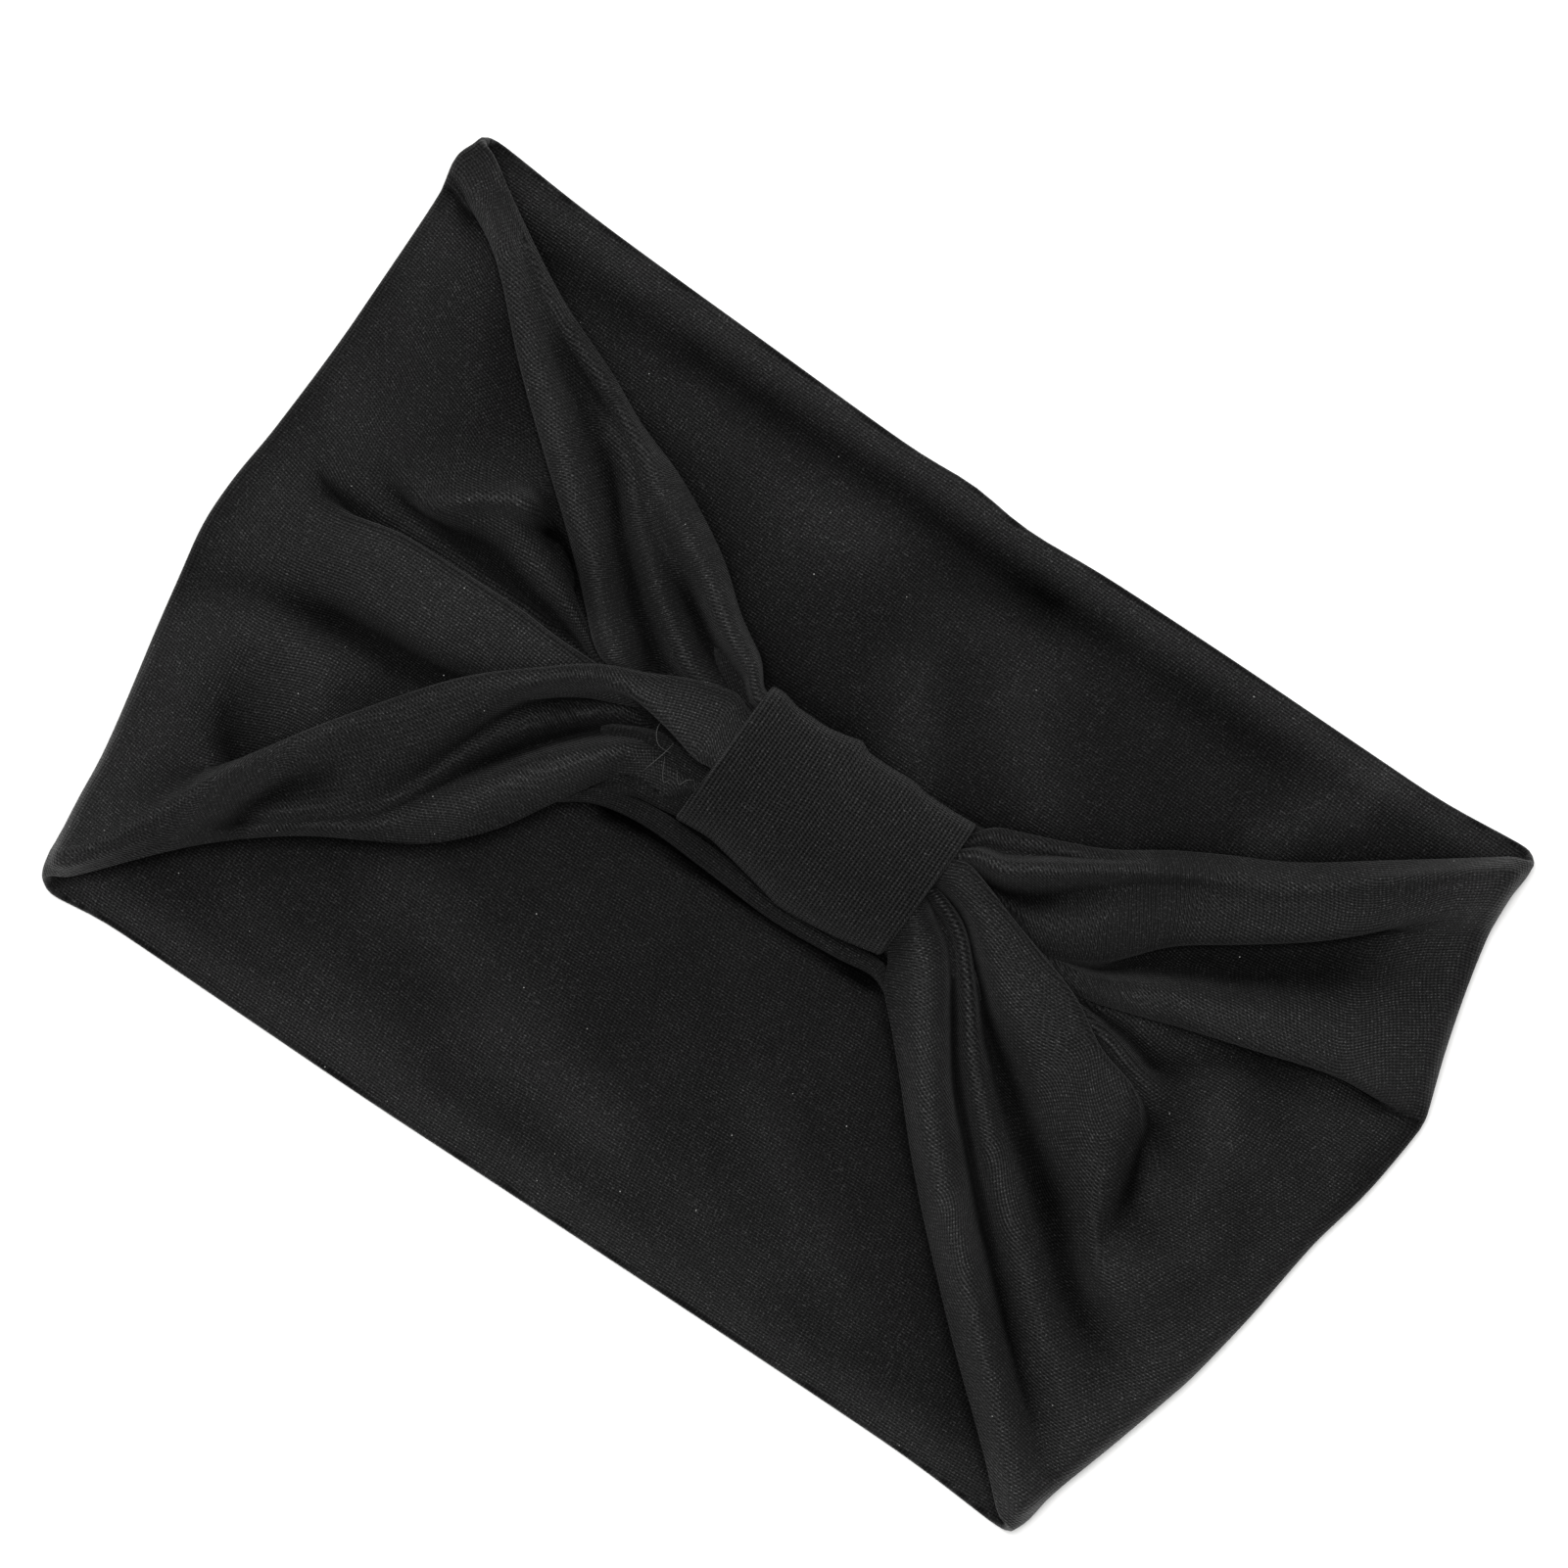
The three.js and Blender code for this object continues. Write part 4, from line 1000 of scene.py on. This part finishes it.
def with_lint(tree, place, colour):
    """Returns a colour with specks of lint: small balls at the hearts of a solid pattern's cells."""
    cell_scale = 1 / (LINT_SPACING_MM * MM)
    cells = add_node(tree, "TexVoronoi", {"feature": "F1"}, Vector=place, Scale=cell_scale)
    speck = add_node(
        tree, "Math", {"operation": "LESS_THAN"}, _0=cells, _1=LINT_RADIUS_MM / LINT_SPACING_MM
    )
    linted = add_node(tree, "Mix", {"data_type": "RGBA"}, _0=speck, _6=colour, _7=linear(LINT_WHITE))
    return linted.outputs[2]


print("lint: specks", 2 * LINT_RADIUS_MM, "mm wide in cells of", LINT_SPACING_MM, "mm")

# %% [markdown]
# ## The finished jersey, and the thread
#
# One function makes both cloths, the band's and the wrap's, from the sizes of their stitches.
# Jersey is matt, so it is rough and hardly glints. Where its painted shading is light, its
# colour, its glint and its sheen rise together: a painted highlight on the crests, and painted
# shade in the hollows. The loose threads are grey cotton, a little paler than the cloth.

# %% The jersey and the thread
MOST_GLINT, MOST_SHEEN = 0.16, 0.08
THREAD_DARK, THREAD_PALE = "#111111", "#343433"


def jersey(name, wale_mm, course_mm, rib_height_mm, course_share, contrast):
    """Builds black jersey whose colour, glint and sheen grow with its painted shade and highlight."""
    material, tree, shader = new_material(name)
    uv = add_node(tree, "UVMap", {"uv_map": "cloth"})
    place = add_node(tree, "TexCoord").outputs["Object"]
    relief = knit_relief(tree, uv, place, wale_mm, course_mm, course_share)
    light = knit_light(tree, place, relief, contrast)
    shading_share = painted_shading_share(tree, place)
    # Painted shade and highlight in the cloth's colour: deep black in the hollows, a paler black on the
    # crests.
    shaded_black = add_node(
        tree, "Mix", {"data_type": "RGBA"},
        _0=shading_share, _6=linear(HOLLOW_SHADE_BLACK), _7=linear(CREST_HIGHLIGHT_BLACK),
    )
    lit = add_node(tree, "VectorMath", {"operation": "SCALE"}, _0=shaded_black.outputs[2], Scale=light)
    # The painted shade also cuts down the glint and the sheen in the hollows.
    glint = add_node(tree, "Math", {"operation": "MULTIPLY"}, _0=shading_share, _1=MOST_GLINT)
    lit_glint = add_node(tree, "Math", {"operation": "MULTIPLY"}, _0=glint, _1=light)
    shaded_sheen = add_node(tree, "Math", {"operation": "MULTIPLY"}, _0=shading_share, _1=MOST_SHEEN)
    set_inputs(
        tree, shader,
        Base_Color=with_lint(tree, place, lit), Roughness=0.52, Specular_IOR_Level=lit_glint,
        Sheen_Weight=shaded_sheen, Sheen_Roughness=0.45, Normal=knit_normal(tree, uv, relief, rib_height_mm),
    )
    return material


def sewing_thread():
    """Builds frayed cotton thread: its plies show as bands half a millimetre long."""
    material, tree, shader = new_material("grey sewing thread")
    uv = add_node(tree, "UVMap", {"uv_map": "cloth"})
    plies = add_node(tree, "TexWave", Vector=uv, Scale=0.6, Distortion=1.5).outputs["Fac"]
    colour = add_node(
        tree, "Mix", {"data_type": "RGBA"}, _0=plies, _6=linear(THREAD_DARK), _7=linear(THREAD_PALE)
    )
    set_inputs(tree, shader, Base_Color=colour.outputs[2], Roughness=0.7)
    return material


band_jersey = jersey(
    "black single jersey",
    wale_mm=0.6, course_mm=0.76, rib_height_mm=0.05, course_share=0.55, contrast=1.0,
)
wrap_jersey = jersey(
    "black jersey, wales round the wrap",
    wale_mm=0.8, course_mm=0.66, rib_height_mm=0.14, course_share=0.5, contrast=1.5,
)
thread = sewing_thread()
print("materials:", band_jersey.name + ",", wrap_jersey.name, "and", thread.name)

# %% [markdown]
# ## The band
#
# The loop of cloth is the main part of the band. One fold of its gather has slipped out under
# the wrap's lower edge, and a small tuck shows beside it: these are rolls of the same cloth.
# More rolls fill the gather where it enters the wrap, as the folds underneath do.

# %% Where the loose folds and threads lie
LOWEST_FOLD = (
    (-46, -16, 8.6), (-38, -9.6, 6), (-28, -7, 4.4), (-12, -7.2, 4.2),
    (4, -8, 4.2), (18, -7.2, 4.2), (27, -6.8, 4.8), (36, -13, 8.6),
)
SMALL_TUCK = ((-43, -10, 8.4), (-37, -4.5, 7), (-30, -3.6, 6), (-22, -2.6, 5.4), (-12, -1, 5.4))
GATHER_ROLLS = (
    ((-40, 36, 7), (-26, 23, 6.5), (-10, 21, 6.5), (12, 21, 6.5), (28, 24, 6.5), (44, 30, 7)),
    ((-44, 20, 6), (-26, 14, 5.6), (0, 14, 5.6), (28, 15, 5.6), (46, 14, 6)),
    ((-44, 2, 6), (-28, 6, 5.6), (0, 6, 5.6), (28, 6, 5.6), (46, 0, 6)),
    ((-40, -8, 6), (-26, 0, 5.4), (0, -1, 5.4), (27, 0, 5.4), (44, -16, 6)),
)
LOOSE_THREADS = (
    ((-35, 9.5, 10), (-34.9, 8.1, 10.4), (-34, 6.4, 10.4), (-32.6, 5.4, 10.2), (-29.8, 5.5, 9.6)),
    ((-30.7, 7.5, 9.6), (-30.9, 5.9, 10.2), (-31.5, 3.4, 10.4), (-32.2, 1, 10.2), (-32.6, -0.5, 9.6)),
    ((-30.7, 4.4, 10.2), (-29.8, 2.6, 9.8), (-28.9, 1, 9.4), (-28, 0.1, 9.2), (-27.3, 1.3, 9.4)),
    ((-27.4, 3.6, 9.6), (-25.4, 1.4, 9.2), (-24.6, 2.9, 9.4), (-23.6, 3.6, 9.4)),
)
print("rolls in the gather:", len(GATHER_ROLLS), "and loose threads:", len(LOOSE_THREADS))

# %% [markdown]
# ## The cloth's own coordinates
#
# A flat piece of jersey has straight wales, and they stay with it however it is folded. So each
# point keeps two lengths measured on the cloth: u along the loop, and v across it from the
# middle line. They are the UV map, carried over both skins and the turned edges.

# %% The cloth's own coordinates
# The turned edges get a middling value of painted shade and highlight.
EDGE_PAINTED_SHADING = 0.5


def carried_round(values, at_edges=None):
    """Carries a value per point of the sheet round each ring of the cloth.

    The half circle of an edge takes the value of that edge, or `at_edges` where it is given.
    """
    ends = values[:, -1:], values[:, :1]
    if at_edges is not None:
        ends = np.full_like(ends, at_edges)
    far, near = (np.repeat(end, EDGE_STEPS - 1, axis=1) for end in ends)
    return np.concatenate([values, far, values[:, ::-1], near], axis=1)


# Lengths run both ways from the back panel's left end and meet under the wrap, out of sight.
u_along = lengths_along(sheet, 0)
loop_length = u_along[-1] + np.linalg.norm(sheet[0] - sheet[-1], axis=-1)
under_wrap = BACK_RIBS + int(np.abs(sheet[BACK_RIBS:, 0, 0]).argmin())
u_along[under_wrap:] -= loop_length
v_across = across - across[:, sheet.shape[1] // 2][:, None]
loop_uv = np.stack([carried_round(u_along), carried_round(v_across)], axis=-1)
loop_painted_shading = carried_round(painted_shading, EDGE_PAINTED_SHADING)
print("length round the loop, in mm:", round(float(np.median(loop_length))))

# %% The band as one piece
# The rolls of cloth get one even value of painted shade, a little darker than flat cloth.
ROLL_PAINTED_SHADING = 0.4
loop_part = cloth_rings.reshape(-1, 3), grid_faces(*cloth_rings.shape[:2]), loop_uv.reshape(-1, 2)
rolls = [tube_part(path, radius=4.2, count=36, sides=12, flat=0.75) for path in GATHER_ROLLS]
lowest_fold = tube_part(LOWEST_FOLD, radius=2.3, count=60, sides=14)
small_tuck = tube_part(SMALL_TUCK, radius=1.5, count=36, sides=12)
threads = [tube_part(path, radius=0.1, count=32, sides=6) for path in LOOSE_THREADS]
points, faces, cloth_uv = joined([loop_part, *rolls, lowest_fold, small_tuck, *threads])
painted_shading_values = np.full(len(points), ROLL_PAINTED_SHADING)
painted_shading_values[: loop_painted_shading.size] = loop_painted_shading.ravel()
band = mesh_object("band_cloth", points, faces, cloth_uv, band_jersey, painted_shading_values)
thread_faces = sum(len(part[1]) for part in threads)
is_thread = np.arange(len(faces)) >= len(faces) - thread_faces
band.data.materials.append(thread)
band.data.polygons.foreach_set("material_index", is_thread.astype(np.int32))
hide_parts("band")
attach(band, "root")
print("band faces:", len(band.data.polygons))

# %% [markdown]
# ## The wrap
#
# The wrap is the same oval carried from its left mouth to its right one. It has an outer and
# an inner wall, joined by half circles at the mouths, where the strip's long edges are turned
# in. Near the mouths the turned edge makes it a touch thicker.

# %% The wrap's rings
WRAP_RIBS, WRAP_SIDES, MOUTH_STEPS = 110, 260, 6
HEM_SWELL, HEM_REACH = 0.25, 0.05


def wrap_profile():
    """Returns (share of the way across, inset) pairs round the wrap's wall, a closed line.

    The outer wall runs from one mouth to the other, a half circle turns it in, and the inner
    wall runs back.
    """
    length = wrap_right - wrap_left
    radius = WRAP_WALL / 2
    along = np.linspace(radius, length - radius, WRAP_RIBS)
    turn = np.arange(1, MOUTH_STEPS) * np.pi / MOUTH_STEPS
    far = np.stack([length - radius + radius * np.sin(turn), radius * (1 - np.cos(turn))], axis=1)
    near = np.stack([radius - radius * np.sin(turn), radius * (1 + np.cos(turn))], axis=1)
    outer = np.stack([along, 0 * along], axis=1)
    inner = np.stack([along[::-1], 0 * along + WRAP_WALL], axis=1)
    profile = np.concatenate([outer, far, inner, near])
    return profile / [length, 1.0]


def wrap_points():
    """Returns the rings of the wrap, each an oval at its own x and inset."""
    share, inset = (column[:, None] for column in wrap_profile().T)
    angle = (2 * np.pi * np.arange(WRAP_SIDES) / WRAP_SIDES)[None, :]
    bent = [np.sign(f) * np.abs(f) ** (2 / WRAP_SQUARENESS) for f in (np.cos(angle), np.sin(angle))]
    x_guess = mix(wrap_left, wrap_right, share) + 0 * angle
    y0, z0, a, b = wrap_oval(x_guess, inset)
    y = y0 + a * bent[0]
    x = mix(wrap_left_x(y), wrap_right_x(y), share)
    hem = HEM_SWELL * (bell(share, 0, HEM_REACH) + bell(share, 1, HEM_REACH))
    z = z0 + (b + hem * (inset == 0)) * bent[1]
    return np.stack([x, y, z], axis=-1)


rings = wrap_points()
print("wrap's rings:", rings.shape[0], "of", rings.shape[1], "points")

# %% The wrap as one piece
# Over CROWN_FROM a painted highlight makes one band of the wrap paler and painted shade makes one
# darker, each a (middle, width) along Y.
WRAP_TONE, CROWN_TONE = 0.67, 0.08
CROWN_FROM = 10
LIT_CROWN, SHADED_FLANK, FLANK_SHARE = (18, 8), (1, 7), 0.6
wrap_highlight_and_shade = bell(rings[..., 1], *LIT_CROWN) - FLANK_SHARE * bell(rings[..., 1], *SHADED_FLANK)
wrap_painted_shading = WRAP_TONE + CROWN_TONE * wrap_highlight_and_shade * (rings[..., 2] > CROWN_FROM)
girth = lengths_along(rings, 1)
wrap_uv = np.stack([girth, rings[..., 0]], axis=-1)
wrap = mesh_object(
    "knot_wrap_cloth", rings.reshape(-1, 3), grid_faces(*rings.shape[:2])[:, ::-1],
    wrap_uv.reshape(-1, 2), wrap_jersey, wrap_painted_shading.ravel(),
)
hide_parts("knot_wrap")
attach(wrap, "root")
wrap_girth = float(girth[WRAP_RIBS // 2, -1])
print("wrap faces:", len(wrap.data.polygons), "girth in mm:", round(wrap_girth, 1))

# %% [markdown]
# ## Floor, light and camera
#
# The headband lies on a white table under broad, even light. One big soft lamp hangs overhead
# and a much weaker one stands at the left, so that the folds have a bright and a dark side
# without hard shadows, and a pale world fills in the rest.

# %% Floor and lamps
def lamp(name, place, size, power):
    """Adds a square area lamp, turned to face the middle of the band."""
    data = bpy.data.lights.new(name, "AREA")
    data.size, data.energy = size, power
    made = bpy.data.objects.new(name, data)
    made.location = place
    made.rotation_euler = (-made.location).to_track_quat("-Z", "Y").to_euler()
    bpy.context.collection.objects.link(made)


FLOOR_REACH = 3000.0
corners = FLOOR_REACH * np.array([(-1, -1, 0), (1, -1, 0), (1, 1, 0), (-1, 1, 0)])
table, table_tree, table_shader = new_material("white painted board")
set_inputs(table_tree, table_shader, Base_Color=linear("#f4f4f3"), Roughness=0.9)
floor = mesh_object("floor", corners, np.array([[0, 1, 2, 3]]), corners[:, :2], table)

lamp("overhead lamp", place=(-0.2, 0.25, 2.2), size=1.1, power=55)
lamp("side lamp", place=(-1.6, 0.3, 1.0), size=1.2, power=8)
world = bpy.data.worlds.new("soft studio")
world.use_nodes = True
background = world.node_tree.nodes["Background"]
set_inputs(world.node_tree, background, Color=linear("#ffffff"), Strength=0.45)
bpy.context.scene.world = world
bpy.context.scene.view_settings.view_transform = "Standard"
print("lamps and floor ready")

# %% [markdown]
# ## The camera
#
# The camera looks straight down from a height of well over a metre, so that the raised wings
# keep their true outline, and it is turned about 34 degrees, so that the band lies across the
# view from corner to corner.

# %% Camera
LENS_MM, SENSOR_MM = 200.0, 36.0
FRAME_WIDTH = 0.301
VIEW_X, VIEW_Y, VIEW_Z = -0.0088, 0.0128, 0.008
VIEW_TURN = 34.2
camera_data = bpy.data.cameras.new("camera")
camera_data.lens, camera_data.sensor_width = LENS_MM, SENSOR_MM
camera = bpy.data.objects.new("camera", camera_data)
camera.location = (VIEW_X, VIEW_Y, VIEW_Z + FRAME_WIDTH * LENS_MM / SENSOR_MM)
camera.rotation_euler = (0, 0, math.radians(VIEW_TURN))
bpy.context.collection.objects.link(camera)
bpy.context.scene.camera = camera
print("camera height, in m:", round(camera.location.z, 3))

# %% [markdown]
# ## The size
#
# The finished cloth has to fill the same space as the imported model. The last line brings the
# scene up to date.

# %% Bringing the scene up to date
bpy.context.view_layer.update()
